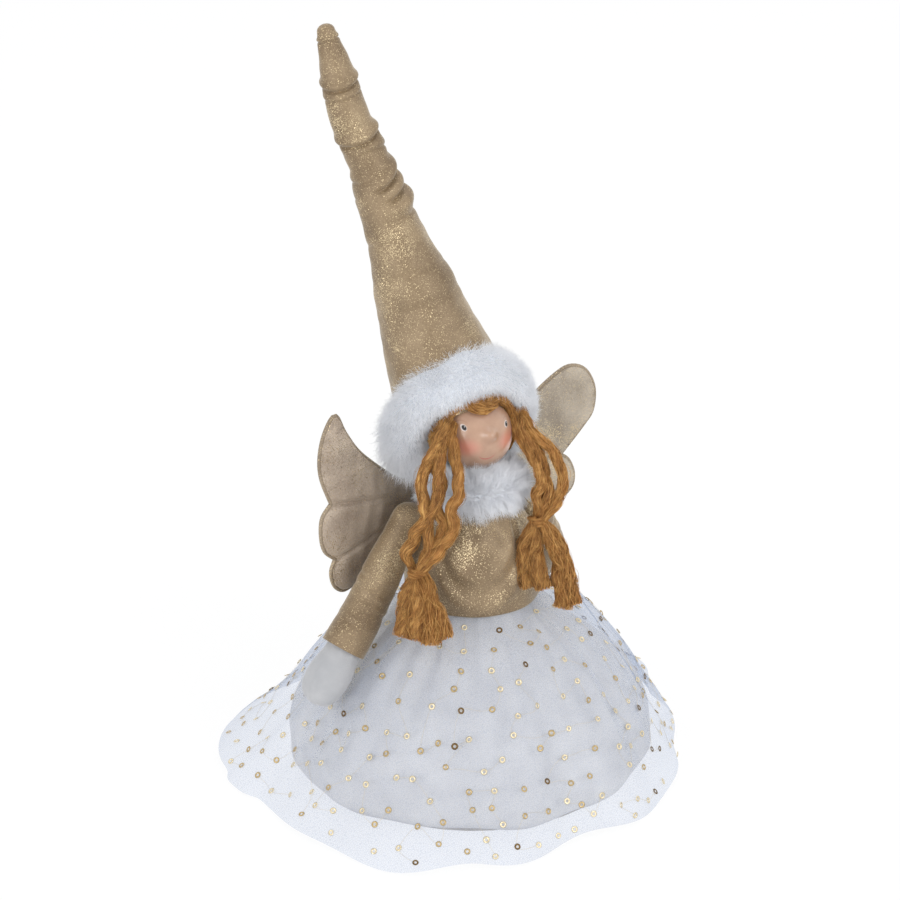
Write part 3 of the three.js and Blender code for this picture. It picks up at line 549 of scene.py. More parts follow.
def tubes(paths, radii, round_sides=4):
    """Points and faces of many tubes. Paths are strands by places by 3, radii strands by places."""
    strands, places, _ = paths.shape
    along = unit(np.gradient(paths, axis=1) + 1e-12)
    across = np.empty_like(paths)
    helper = np.where(np.abs(along[:, 0, 2:]) < 0.9, upright, np.array([1.0, 0, 0]))
    across[:, 0] = unit(np.cross(along[:, 0], helper))
    for i in range(1, places):
        before = across[:, i - 1]
        flat = before - along[:, i] * np.sum(before * along[:, i], -1, keepdims=True)
        across[:, i] = unit(flat + 1e-12)
    other = np.cross(along, across)
    turn = angles(round_sides)[:, None]
    spread = across[:, :, None] * np.cos(turn) + other[:, :, None] * np.sin(turn)
    points = (paths[:, :, None] + spread * radii[:, :, None, None]).reshape(-1, 3)
    index = np.arange(strands * places * round_sides).reshape(strands, places, round_sides)
    return points, [grid_faces(index)]


def joined(parts):
    """One list of points and faces from several."""
    points, face_sets, start = [], [], 0
    for part_points, part_faces in parts:
        points.append(part_points)
        face_sets += [faces + start for faces in part_faces]
        start += len(part_points)
    return np.vstack(points), face_sets


def ripple(points, size, seed, waves=9):
    """A smooth random field over points, about -1 to 1, with features about size across."""
    chance = np.random.default_rng(seed)
    total = np.zeros(points.shape[:-1])
    for _ in range(waves):
        direction = unit(chance.normal(size=3)) * circle / (size * chance.uniform(1.2, 3))
        total += np.sin(points @ direction + chance.uniform(0, circle))
    return total / math.sqrt(waves)


def dents(points, *waves):
    """How far an uneven skin stands out. Each wave has a depth, a size and a seed."""
    return sum(depth * ripple(points, size, seed) for depth, size, seed in waves)[..., None]


def run_along(path):
    """The way from the path's start to each of its points."""
    return np.concatenate([[0], np.cumsum(np.linalg.norm(np.diff(path, axis=0), axis=1))])


def smooth_path(places, count):
    """A smooth curve through places, with evenly spaced points."""
    places = np.asarray(places, float)
    ends = np.vstack([2 * places[0] - places[1], places, 2 * places[-1] - places[-2]])
    fine = []
    for i in range(len(places) - 1):
        a, b, c, d = ends[i : i + 4]
        t = np.linspace(0, 1, 40, endpoint=i == len(places) - 2)[:, None]
        square, cube = 2 * a - 5 * b + 4 * c - d, 3 * b - a - 3 * c + d
        fine.append(0.5 * (2 * b + (c - a) * t + square * t**2 + cube * t**3))
    fine = np.vstack(fine)
    run = run_along(fine)
    at = np.linspace(0, run[-1], count)
    return np.stack([np.interp(at, run, column) for column in fine.T], -1)


def frames_along(path, first_across):
    """Tangents and two square directions along a path, carried on without twist."""
    along = unit(np.gradient(path, axis=0))
    across = np.empty_like(path)
    across[0] = unit(first_across - along[0] * (first_across @ along[0]))
    for i in range(1, len(path)):
        across[i] = unit(across[i - 1] - along[i] * (across[i - 1] @ along[i]))
    return along, across, np.cross(along, across)


def rings_along(path, first_across, radii, count):
    """Round rings along a path, and their outward directions. Radii go by ring and angle."""
    along, across, other = frames_along(path, first_across)
    turn = angles(count)[:, None]
    out = across[:, None] * np.cos(turn) + other[:, None] * np.sin(turn)
    radii = np.broadcast_to(radii, (len(path), count))
    return path[:, None] + out * radii[..., None], out


def eased(at, table):
    """A smooth value at a place, from a list of (place, value) pairs."""
    places, values = (np.array(column, float) for column in zip(*table))
    index = np.clip(np.searchsorted(places, at, "right") - 1, 0, len(places) - 2)
    step = places[index + 1] - places[index]
    share = np.clip((at - places[index]) / step, 0, 1)
    slopes = np.gradient(values, places)
    square, cube = share**2, share**3
    return (
        (2 * cube - 3 * square + 1) * values[index]
        + (cube - 2 * square + share) * step * slopes[index]
        + (3 * square - 2 * cube) * values[index + 1]
        + (cube - square) * step * slopes[index + 1]
    )


def scattered(points, faces, count, seed):
    """Random places on a skin of quads, with their normals."""
    chance = np.random.default_rng(seed)
    corners = points[faces]
    first = np.cross(corners[:, 1] - corners[:, 0], corners[:, 2] - corners[:, 0])
    second = np.cross(corners[:, 2] - corners[:, 0], corners[:, 3] - corners[:, 0])
    areas = np.linalg.norm(first, axis=1) + np.linalg.norm(second, axis=1)
    chosen = chance.choice(len(faces), count, p=areas / areas.sum())
    u, v = chance.random((2, count, 1))
    a, b, c, d = (corners[chosen, k] for k in range(4))
    places = (1 - u) * (1 - v) * a + u * (1 - v) * b + u * v * c + (1 - u) * v * d
    return places, unit((first + second)[chosen] + 1e-15)


# Hat brim and collar

brim_centre = head_centre + np.array([0, 12, 4.5]) * mm
brim_tilt = math.radians(65)
brim_up = np.array([0, -math.cos(brim_tilt), math.sin(brim_tilt)])
brim_back = np.array([0, math.sin(brim_tilt), math.cos(brim_tilt)])
brim_radius = brim_high[0] - 7.25 * mm
brim_strands = 38000
brim_pile_length = 3.3 * mm
collar_radius = 15 * mm
collar_half_thickness = 6.4 * mm
collar_half_width = 6.6 * mm
collar_tilt = math.radians(14)
collar_strands = 28000
collar_clumps = 1300
collar_pile_length = 6.8 * mm


def band_rings(centre, up, radius, thickness, widths, count):
    """Cross sections of an oval band round a tilted circle. Half sizes go by place on the circle."""
    across = np.array([1.0, 0, 0])
    axis = np.cross(across, up)
    turn = angles(len(thickness))[:, None]
    section = angles(count)
    spoke = across * np.cos(turn) + up * np.sin(turn)
    thick = thickness[:, None]
    out = radius + thick - thickness.min() + thick * np.cos(section)
    rings = centre + spoke[:, None] * out[..., None]
    return rings + axis * np.sin(section)[:, None] * widths[:, None, None]


def droop(turn):
    """1 where the brim hangs on the shoulders, 0 over the forehead and at the nape."""
    return sum(hill(angle_from(low_side, turn), 0.5) for low_side in (-2.45, -0.69))


def add_band(name, replaced, rings, strands, seed):
    """The band of cloth under a pile, and the places and normals of the pile's roots."""
    points, faces = loft(rings[:, ::-1], around=True)
    base = add_piece(f"{name}_base", points, faces, materials[f"{name}_backing"])
    dress(base, "plush", "doll", replaced)
    return scattered(points, faces[0], strands, seed)


def add_fur(name, look, roots, normals, comb, length, seed, curl, clumps=0):
    """Tapered pile strands that lean along comb in waves, and may gather in pointed clumps."""
    chance = np.random.default_rng(seed)
    count = len(roots)
    tufts = ripple(roots, 5 * mm, seed)[:, None] * unit(np.cross(normals, comb) + 1e-9)
    scatter = chance.normal(size=(count, 3)) * 0.28
    direction = unit(normals + comb + tufts * 0.35 + scatter)
    lengths = length * chance.uniform(0.65, 1.15, (count, 1))
    bend = unit(comb + chance.normal(size=(count, 3)) * curl) * lengths * 0.35
    steps = np.linspace(0, 1, 4)
    paths = roots[:, None] + direction[:, None] * (steps[:, None] * lengths[:, None])
    paths = paths + bend[:, None] * (steps**2)[:, None]
    if clumps:
        centres = roots[:clumps]
        apart = (roots**2).sum(1)[:, None] - 2 * roots @ centres.T + (centres**2).sum(1)
        gather = paths[apart.argmin(1), -1] - paths[:, -1]
        paths = paths + 0.42 * gather[:, None] * (steps**1.5)[:, None]
    radii = 0.11 * mm * (1 - 0.85 * steps) * chance.uniform(0.8, 1.2, (count, 1))
    pile = add_piece(name, *tubes(paths, radii, 3), materials[look])
    dress(pile, "plush", "doll")


def add_brim():
    turn = angles(120)
    thickness = (7.1 + 1.6 * droop(turn)) * mm
    widths = (8.4 + 2 * (np.sin(turn) + 1) + 1.5 * droop(turn)) * mm
    rings = band_rings(brim_centre, brim_up, brim_radius, thickness, widths, 40)
    outward = unit(rings - rings.mean(1, keepdims=True))
    rings = rings + outward * dents(rings, (0.8 * mm, 12 * mm, 5))
    places, normals = add_band("brim", "hat_brim", rings, brim_strands, 11)
    down = np.array([0.0, -0.2, -0.5])
    comb = (down - normals * (normals @ down)[:, None]) * 0.9
    spot = (places - brim_centre) @ np.stack([[1, 0, 0], brim_up], -1)
    # The doll's right shoulder carries a long tuft.
    longer = 1 + np.where(spot[:, 0] < 0, 1.3, 0.5) * droop(np.arctan2(spot[:, 1], spot[:, 0]))
    add_fur("brim_pile", "pile", places, normals, comb, brim_pile_length * longer[:, None], 12, 0.5)


def add_collar():
    middle = np.array([0, 0, collar_high[2] - 9.3 * mm])
    front = np.array([0, -math.cos(collar_tilt), math.sin(collar_tilt)])
    even = np.ones(80)
    thickness, widths = collar_half_thickness * even, collar_half_width * even
    rings = band_rings(middle, front, collar_radius, thickness, widths, 28)
    places, normals = add_band("collar", "fur_collar", rings, collar_strands, 21)
    outward = unit(places * np.array([1, 1, 0]))
    rise = np.clip((places[:, 2:] - middle[2]) / (7 * mm), -1, 1)
    comb = outward * 0.2 - upright * (0.45 - 1.0 * rise)
    longer = 1 + 0.35 * np.clip(rise, 0, 1) * np.clip(-normals[:, 1:2], 0, 1)
    lengths = collar_pile_length * longer
    name = "collar_pile"
    add_fur(name, name, places, normals * 0.8, comb, lengths, 22, 0.6, collar_clumps)


# Head and hair


def add_head():
    ring = level_ring(angles(96))
    latitude = np.linspace(-math.pi / 2 + 0.02, math.pi / 2 - 0.02, 64)[:, None, None]
    directions = ring * np.cos(latitude) + upright * np.sin(latitude)
    nose_rise = 5 * mm
    nose = unit(np.array([0, -math.sqrt(head_radius**2 - nose_rise**2), nose_rise]))
    away = np.arccos(np.clip(directions @ nose, -1, 1)) * head_radius
    rise = (-nose_front - head_radius * -nose[1]) * hill(away, 2.9 * mm)
    # The cheek on the doll's left is a little fuller.
    rise += 0.35 * mm * hill(directions @ np.array([0.55, -0.8, -0.25]) - 1, 0.05)
    points, faces = loft(head_centre + directions * (head_radius + rise)[..., None])
    head = add_piece("painted_head", points, faces, materials["face"])
    dress(head, "painted_face", "doll", "head")


def lock(path, radius, fibres, seed, twist, waver, fibre_radius=0.15 * mm):
    """Points and faces of one soft brushed lock of wool: a core and the fine fibres laid over it."""
    chance = np.random.default_rng(seed)
    _, across, other = frames_along(path, np.array([1.0, 0.13, 0.07]))
    count = len(path)
    radius = np.broadcast_to(radius, count)
    share = np.linspace(0, 1, count)
    run = run_along(path)

    def wave(shortest, longest):
        return np.sin(run / chance.uniform(shortest * mm, longest * mm) + chance.uniform(0, 6))

    paths, radii = [], []
    for _ in range(fibres):
        spread = math.sqrt(chance.uniform(0.4, 1.15))
        turn = chance.uniform(0, circle) + twist * circle * share
        turn = turn + 0.7 * wave(3, 8)
        swell = radius * spread * (1 + 0.16 * wave(2, 5))
        offset = across * (np.cos(turn) * swell)[:, None] + other * (np.sin(turn) * swell)[:, None]
        shake = np.stack([wave(1.2, 3.5) for _ in range(3)], -1)
        paths.append(path + offset + shake * waver * chance.uniform(0.1, 0.6))
        radii.append(np.full(count, fibre_radius * chance.uniform(0.6, 1.3)))
    # The core closes in a dome at both ends.
    ends = np.sqrt(np.clip(np.minimum(share, 1 - share) / 0.05, 0.0001, 1))
    core = tubes(path[None], (0.72 * radius * ends)[None], 9)
    return joined([core, tubes(np.array(paths), np.array(radii), 3)])


# The course of the front lock in degrees, round the head from the front and up from level, and how
# much further each place lies in the lock at the back.
lock_turns = np.array([-6, 22, 46, 66, 76, 80])
lock_rises = np.array([48, 53, 57, 40, 2, -34])
further_round = np.array([0, 0, 0, 14, 38, 60])
further_up = np.array([44, 36, 20, 4, -10, 0])


def add_hair():
    """Locks laid round the ball from the middle of the forehead, down each side of the face."""
    chance = np.random.default_rng(31)
    radius = hair_high[0] - 1.8 * mm
    centre = head_centre + upright * 1.07 * mm
    parts = []
    for side in sides.values():
        for row in range(13):
            back = row / 12
            around = np.radians(lock_turns + further_round * back + chance.uniform(-3, 3))
            level = np.radians(lock_rises + further_up * back + chance.uniform(-1.5, 1.5))[:, None]
            level_way = np.stack([side * np.sin(around), -np.cos(around), np.zeros(6)], -1)
            places = centre + (level_way * np.cos(level) + upright * np.sin(level)) * radius
            seed = 100 + row + 50 * (side > 0)
            parts.append(lock(smooth_path(places, 40), 1.7 * mm, 60, seed, 1.2, 0.35 * mm))
    hair = add_piece("hair_locks", *joined(parts), materials["wool"])
    dress(hair, "wool", "doll", "hair_cap")


braid_lengths = {"right": 55 * mm, "left": 41 * mm}
braid_path_shares = {
    "right": [(-0.26, -0.2, -0.955), (-0.1, -0.17, -0.52), (0, 0, 0)],
    "left": [(0, -0.29, -0.93), (0.1, -0.16, -0.44), (0, 0, 0)],
}
tassel_lengths = {"right": 30 * mm, "left": 39 * mm}
tassel_end_shares = {"right": (-0.06, -0.36, -0.93), "left": (-0.03, -0.33, -0.94)}

# The locks of each braid, as seen in the photograph's view: share of the braid's length from its top, then
# millimetres to the viewer's right and towards the viewer.
braid_locks = {
    "right": [
        [(-0.18, 4.5, -8), (0, 0.5, 0), (0.13, -4.6, 1), (0.3, -6.2, 2), (0.46, -3.4, 2.5), (0.66, -5.9, 1),
         (0.83, -7.1, 0), (0.93, -4.5, 0), (1, -0.8, 0)],
        [(-0.16, 5, -8), (0.03, 2.5, 1), (0.2, 1.8, 3), (0.38, 0.6, 3.5), (0.53, -2, 2), (0.67, -1, 0),
         (0.8, 2.2, 1), (0.92, 1, 1.5), (1, 0.4, 1)],
        [(-0.14, 7, -7), (0.03, 8, 0), (0.18, 10.2, 1.5), (0.33, 9.8, 2.5), (0.46, 7.4, 3), (0.6, 9.2, 2),
         (0.8, 6.4, 2), (0.92, 3.2, 1.5), (1, 0.8, 1)],
        [(-0.16, 3, -8), (0.02, 1, -2), (0.12, 0.5, -1), (0.3, 2, -0.5), (0.45, 1, -1), (0.58, 4.6, -0.5),
         (0.72, 5, 0), (0.86, 1.5, 0), (1, 0, -1)],
    ],
    "left": [
        [(-0.2, -4.5, -9), (0.04, -3.6, 0), (0.34, -1.2, 1.5), (0.54, -0.4, 2), (0.7, -1.6, 1.5),
         (0.86, 0, 1),
         (1, 0, 0)],
        [(-0.18, -3, -9), (0.04, -0.8, 0.5), (0.3, 1.2, 0.5), (0.5, 2, 0), (0.68, 3.8, 1), (0.85, 2.8, 1.5),
         (1, 0.6, 1)],
        [(-0.2, -1.5, -9), (0.05, 3.4, 0), (0.2, 7.6, 0.5), (0.36, 8.4, 1), (0.555, 9.2, 1), (0.76, 8, 1.5),
         (0.9, 4.6, 1.5), (1, 1.2, 1)],
        [(-0.18, -2.5, -9), (0.05, -1, -2), (0.3, 0, -1.5), (0.55, 1.5, -1), (0.8, 0.5, -1), (1, 0, -1)],
    ],
}
braid_lock_radii = {"right": 2.3 * mm, "left": 2.1 * mm}
# The loose locks hang a little to the viewer's left of their hinges.
braid_shifts = {"right": np.array([-3.0, 0, 0.5]) * mm, "left": np.array([-2.0, 0, 0]) * mm}

# The clumps of each tassel: share of its length, millimetres to the viewer's right and towards the viewer.
tassel_clumps = {
    "right": [
        [(0, -1, 0), (0.22, -3.4, 0.5), (0.58, -6, 0), (0.95, -9, 0)],
        [(0, 0, 1), (0.22, -0.5, 2), (0.58, -1.5, 2.5), (0.97, -3, 1.5)],
        [(0, 1, 0), (0.22, 2.5, 1.5), (0.58, 3, 2), (1.02, 3.2, 1.5)],
        [(0, 1, -1), (0.22, 4, 0), (0.58, 5.8, 0.5), (1, 9.6, 0)],
        [(0, 0, -1), (0.35, 1, -1.5), (0.7, 2, -1.5), (1, 1, -1.5)],
    ],
    "left": [
        [(0, -1, 0), (0.15, -5, 0.5), (0.35, -7.4, 0.5), (0.6, -8, 0), (0.76, -7.2, 0)],
        [(0, -0.5, 1), (0.15, -1.6, 2), (0.35, -2.2, 2), (0.6, -2, 2), (0.77, -0.6, 1.5)],
        [(0, 1, 1), (0.18, 5.4, 2), (0.39, 7.6, 1.5), (0.62, 8, 1), (0.84, 8.2, 1), (1, 7.6, 1)],
        [(0, 1, 0), (0.18, 6.8, 0.5), (0.39, 9.4, 0.5), (0.62, 10.6, 0.5), (0.84, 11.8, 0.5),
         (0.98, 12, 0.5)],
    ],
}
tassel_clump_radii = {"right": 4.0 * mm, "left": 3.5 * mm}
tassel_width_shares = [(0, 0.45), (0.2, 0.75), (0.6, 1), (1, 1.05)]
braid_seeds = {"right": 40, "left": 60}
tassel_seeds = {"right": 71, "left": 81}


def in_view(start, down, length, places):
    """Places given along a line and in the photograph's view, as points."""
    share, across, near = (np.array(values, float)[:, None] for values in zip(*places))
    return start + down * (share * length) + (view_right * across + view_near * near) * mm


def wandering(path, size, seed):
    """The path with a slight wander."""
    return path + 0.6 * mm * np.stack([ripple(path, size, seed + k) for k in (0, 5, 9)], -1)


def add_braid(side):
    """Soft wool locks plaited loosely, tied, then fanned out in a tassel cut straight."""
    top = hinges[f"braid_{side}_swing"] + braid_shifts[side]
    spine = smooth_path(top + np.array(braid_path_shares[side][::-1]) * braid_lengths[side], 60)
    spine_share = np.linspace(0, 1, 60)
    knot = spine[-1]
    along = unit(knot - spine[0])
    length = np.linalg.norm(knot - spine[0])
    bend = spine - (spine[0] + along * (spine_share * length)[:, None])
    parts = []
    for seed, places in enumerate(braid_locks[side], braid_seeds[side]):
        path = smooth_path(in_view(spine[0], along, length, places), 80)
        share = np.clip(((path - spine[0]) @ along) / length, 0, 1)
        path = path + np.stack([np.interp(share, spine_share, column) for column in bend.T], -1)
        path = wandering(path, 5 * mm, seed)
        radius = braid_lock_radii[side] * (1 - 0.4 * np.clip((share - 0.85) / 0.15, 0, 1))
        parts.append(lock(path, radius, 130, seed, 0.9, 0.5 * mm))
        parts.append(lock(path, radius * 1.3, 14, seed + 20, 0.7, 1.2 * mm, 0.07 * mm))
    parts.append(tie_turns(knot, along))
    parts += tassel(knot, side)
    braid = add_piece(f"wool_braid_{side}", *joined(parts), materials["wool"])
    replaced = [f"{node_name}_{side}" for node_name in ("braid", "braid_tie", "tassel")]
    dress(braid, "wool", f"{side}_braid", *replaced)


def tie_turns(centre, along):
    """A soft wool strand wound three times round the braid's neck."""
    turns = np.linspace(0, 3 * circle, 70)[:, None]
    across = unit(np.cross(along, upright + np.array([0.3, 0.1, 0])))
    other = np.cross(along, across)
    radius = 3.4 * mm + 0.35 * mm * np.sin(turns * 0.7)
    rise = (turns / turns[-1] - 0.5) * 3.4 * mm
    path = centre + along * rise + (across * np.cos(turns) + other * np.sin(turns)) * radius
    return lock(path, 0.8 * mm, 30, 77, 3, 0.2 * mm, 0.12 * mm)


def tassel(start, side):
    """Brushed clumps of wool below the tie."""
    down = unit(np.array(tassel_end_shares[side]))
    radius = tassel_clump_radii[side] * eased(np.linspace(0, 1, 50), tassel_width_shares)
    parts = []
    for seed, places in enumerate(tassel_clumps[side], tassel_seeds[side]):
        path = smooth_path(in_view(start, down, tassel_lengths[side], places), 50)
        path = wandering(path, 6 * mm, seed)
        parts.append(lock(path, radius, 210, seed, 0.3, 0.45 * mm, 0.13 * mm))
        parts.append(lock(path, radius * 1.15, 18, seed + 20, 0.3, 1.1 * mm, 0.06 * mm))
    return parts


# Hat: one cone of cloth in two skins that meet under a fold

hat_sides = 144
hat_seam_height = 289.0 * mm


def leaning(side, back):
    return unit(np.array([-math.tan(math.radians(side)), math.tan(math.radians(back)), 1.0]))


lower_bend = hinges["hat_bend_lower"]
upper_bend = hinges["hat_bend_tip"]
lower_axis = leaning(15.5, 11.8)
tip_axis = leaning(10.8, 11.2)
middle_axis = unit(upper_bend - lower_bend)
hood_top = lower_bend - lower_axis * 53 * mm
mouth = brim_centre + brim_back * 6 * mm
hat_places = [
    mouth,
    (mouth + hood_top) / 2 + brim_back * 2.5 * mm,
    hood_top,
    hood_top + (lower_bend - hood_top) * 0.5,
    lower_bend,
    (lower_bend + upper_bend) / 2,
    upper_bend,
    upper_bend + tip_axis * 18 * mm,
    upper_bend + tip_axis * 32.4 * mm,
]

# Hat radius in millimetres by height above the table in millimetres, read on the cone's two edges.
hat_radii = [
    (172, 27.2), (180, 26.4), (192, 24.2), (204, 22.0), (215, 19.8), (232, 16.6), (246, 13.8), (256, 12.0),
    (262, 11.7), (268, 11.4), (274, 10.2), (280, 9.0), (286, 9.1), (296, 8.9), (306, 8.7), (314, 8.1),
    (318, 7.8),
    (327, 6.1), (333, 4.9), (338, 4.0),
]

# Folds across the hat: height on the axis, and the crease's depth and width, in millimetres; how far
# the crease sags at the front in millimetres; where round the hat it is deepest and how far round it
# goes, in degrees; and which side of it bulges.
hat_folds = [
    (334.6, 0.6, 1.3, 0.3, 0, 400, 1),
    (315.8, 1.3, 2.4, 2.4, 0, 220, 1),
    (311.0, 0.6, 1.6, 1.4, -20, 110, 1),
    (292.2, 1.7, 3.0, 2.4, 20, 130, 1),
    (285.0, 0.7, 2.6, -1.0, 60, 60, 1),
    (274.2, 2.6, 4.0, 4.6, 62, 62, 1),
    (266.8, 2.5, 4.8, 3.2, 70, 56, -1),
    (275.0, 0.8, 3.0, 1.0, -60, 60, 1),
    (256.0, 0.6, 4.5, 1.0, 60, 70, 1),
    (247.0, 0.5, 6.0, 0, -30, 80, 1),
    (231.0, 0.5, 6.5, -2.0, 20, 90, -1),
    (219.0, 0.4, 7.0, 0, 0, 90, 1),
    (290.0, 1.2, 3.4, -1.5, 175, 70, 1),
    (268.0, 1.4, 4.0, 1.5, 190, 75, 1),
]


def fold_relief(height, turn):
    """Outward move of the cloth at a height on the axis and an angle from the front, in metres."""
    total = np.zeros(np.broadcast(height, turn).shape)
    for level, depth, width, sag, middle, reach, bulge in hat_folds:
        away = angle_from(math.radians(middle), turn)
        x = (height - (level - sag * np.cos(turn)) * mm) / (width * mm) * bulge
        profile = 0.75 * hill(x - 0.85, 0.6) - 1.05 * hill(x, 0.22) + 0.15 * hill(x + 0.8, 0.5)
        total += depth * mm * hill(away, math.radians(reach), 4) * profile
    return total


def add_hat():
    path = smooth_path(hat_places, 360)
    along, across, other = frames_along(path, view_right)
    # Angle 0 of the relief faces the front of the photograph's view, and pi / 2 its right.
    front_turn = angles(hat_sides) + math.pi / 2
    heights = path[:, 2]
    radii = eased(heights / mm, hat_radii) * mm
    relief = fold_relief(heights[:, None], front_turn[None])
    rings, out = rings_along(path, view_right, radii[:, None] + relief, hat_sides)
    rings = rings + out * dents(rings, (0.45 * mm, 16 * mm, 81), (0.16 * mm, 5 * mm, 82))
    seam = int(np.searchsorted(heights, hat_seam_height))
    lower_skin = loft(rings[: seam + 1], closed=False)
    lower = add_piece("hat_cloth_lower", *lower_skin, materials["gold"])
    tip_rings = rounded_tip(rings[seam:], path[-1], along[-1], across[-1], other[-1], radii[-1])
    tip = add_piece("hat_cloth_tip", *loft(tip_rings), materials["gold"])
    dress(lower, "gold_cloth", None, "hat_lower", "hat_middle", "hat_filling", fill=0.8)
    dress(tip, "gold_cloth", None, "hat_tip", fill=0.8)
    bends = [
        (lower, "doll", "hat_middle_length", lower_bend, lower_axis, middle_axis),
        (tip, "hat_middle_length", "hat_end", upper_bend, middle_axis, tip_axis),
    ]
    for piece, below, above, bend, axis_below, axis_above in bends:
        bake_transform(piece)


def rounded_tip(rings, end, along, across, other, radius):
    """Closes the last ring with a gathered round end."""
    turn = angles(rings.shape[1])[:, None]
    spoke = across * np.cos(turn) + other * np.sin(turn)
    caps = []
    for elevation in np.radians([14, 28, 42, 56, 70, 82]):
        pucker = 1 + 0.05 * np.sin(turn * 11) * math.sin(elevation)
        rise = radius * 0.85 * math.sin(elevation)
        caps.append(end + along * rise + spoke * (radius * math.cos(elevation) * pucker))
    return np.concatenate([rings, np.array(caps)])


# Torso, arms and hands

bodice_outline_shares = [(0, 0.98), (0.17, 1), (0.36, 0.94), (0.6, 0.77), (0.78, 0.51), (0.93, 0.2), (1, 0)]
neck_radius = 8 * mm

# Creases of the bodice: angle from its front, slope, and depth in millimetres.
bodice_creases = [(-0.5, 0.8, 0.7), (0.42, -0.8, 0.8), (-0.12, 0.3, 0.5), (0.2, -0.25, 0.5)]


def add_torso():
    """The stuffed bodice, with a sagging crease round the belly and creases from the armpits."""
    rise = np.linspace(0, 1, 130)
    turn = angles(180)
    radii = neck_radius + (bodice_radius - neck_radius) * eased(rise, bodice_outline_shares)
    away = angle_from(-math.pi / 2 + camera_azimuth * 0.75, turn)
    sag = 0.2 + 0.52 * (np.abs(away) / 0.85) ** 2.2
    x = (rise[:, None] - sag) / 0.1
    roll = 1.2 * hill(x + 1.3, 0.9) - 1.5 * hill(x, 0.85) + 1.1 * hill(x - 1.7, 0.9)
    relief = hill(away, 0.95, 4) * mm * roll
    fade = hill(rise - 0.66, 0.18)[:, None]
    for place, slope, depth in bodice_creases:
        line = away - place - slope * (rise[:, None] - 0.6)
        relief = relief - depth * mm * fade * hill(line, 0.11)
    ring = level_ring(turn)
    heights = bodice_low[2] + bodice_height * rise
    rings = ring * (radii[:, None] + relief)[..., None] + upright * heights[:, None, None]
    rings = rings + ring * dents(rings, (0.4 * mm, 11 * mm, 91))
    # The hem turns in and under.
    hem = [
        ring * (radii[0] - k * mm) + upright * (bodice_low[2] + 0.15 * k * mm)
        for k in (2.2, 1.1, 0.35)
    ]
    skin = loft(np.concatenate([np.array(hem), rings]), closed=False)
    torso = add_piece("torso_cloth", *skin, materials["gold"])
    dress(torso, "gold_cloth", "doll", "torso_cover", "torso_filling", fill=0.8)


arm_length = 93 * mm
hand_length = 28 * mm
wrist_length = 5 * mm
arm_places = 300
sleeve_sides = 72
cuff_radius = 10.1 * mm
shoulder_radius = 7.6 * mm
palm_radius = 9.8 * mm
hand_sides = 64
arm_path_shares = {
    "right": [(-0.58, -0.165, -0.8), (-0.285, -0.09, -0.41), (0, 0, 0)],
    "left": [(0.27, 0.58, -0.712), (0.25, 0.42, -0.603), (0.215, 0.22, -0.455), (0.1, 0.07, -0.25), (0, 0, 0)],
}
hand_width_shares = [
    (0, 0.12), (0.03, 0.42), (0.07, 0.62), (0.2, 0.88), (0.42, 1), (0.7, 0.97), (0.93, 0.86), (1.2, 0.8),
]
sleeve_seeds = {"right": 95, "left": 96}


def sleeve_wrinkles(share, turn, seed):
    """Outward move of the cloth in metres, by share of the sleeve and angle."""
    wrinkles = np.zeros((len(share), len(turn)))
    chance = np.random.default_rng(seed)
    for _ in range(11):
        at, facing = chance.uniform(0.08, 0.92), chance.uniform(0, circle)
        lean = chance.uniform(-0.06, 0.06)
        x = (share[:, None] - at - lean * np.sin(turn - facing)) / chance.uniform(0.018, 0.035)
        strength = (0.5 + 0.5 * np.cos(turn - facing)) ** 2
        profile = 0.35 * hill(x - 1, 1) - 0.55 * hill(x, 1)
        wrinkles += chance.uniform(0.5, 1) * strength * profile
    return wrinkles * mm


def add_arm(side):
    """Sleeve from the cuff to the round shoulder, with wrinkles, and the mitten in it."""
    places = hinges[f"arm_{side}_swing"] + np.array(arm_path_shares[side]) * arm_length
    path = smooth_path(places, arm_places)
    sleeve_path = path[int(arm_places * hand_length / arm_length) :]
    share = np.linspace(0, 1, len(sleeve_path))
    radii = cuff_radius + (shoulder_radius - cuff_radius) * share**1.5
    seed = sleeve_seeds[side]
    wrinkles = sleeve_wrinkles(share, angles(sleeve_sides), seed)
    rings, out = rings_along(sleeve_path, upright, radii[:, None] + wrinkles, sleeve_sides)
    rings = rings + out * dents(rings, (0.3 * mm, 9 * mm, seed))
    along = unit(path[-1] - path[-2])
    crown = []
    for elevation in np.radians([15, 30, 45, 60, 75, 86]):
        middle = path[-1] + along * radii[-1] * math.sin(elevation)
        crown.append(middle + (rings[-1] - rings[-1].mean(0)) * math.cos(elevation))
    # The cuff's cloth turns in round the wrist.
    start, inward = sleeve_path[0], sleeve_path[3] - sleeve_path[0]
    turned_in = [rings[0] * s + start * (1 - s) + inward * k for s, k in ((0.8, 1.6), (0.88, 0.5), (0.96, 0))]
    skin = loft(np.concatenate([np.array(turned_in), rings, np.array(crown)]))
    sleeve = add_piece(f"sleeve_cloth_{side}", *skin, materials["gold"])
    dress(sleeve, "gold_cloth", f"{side}_arm", f"sleeve_{side}", fill=0.7)
    add_hand(side, path)


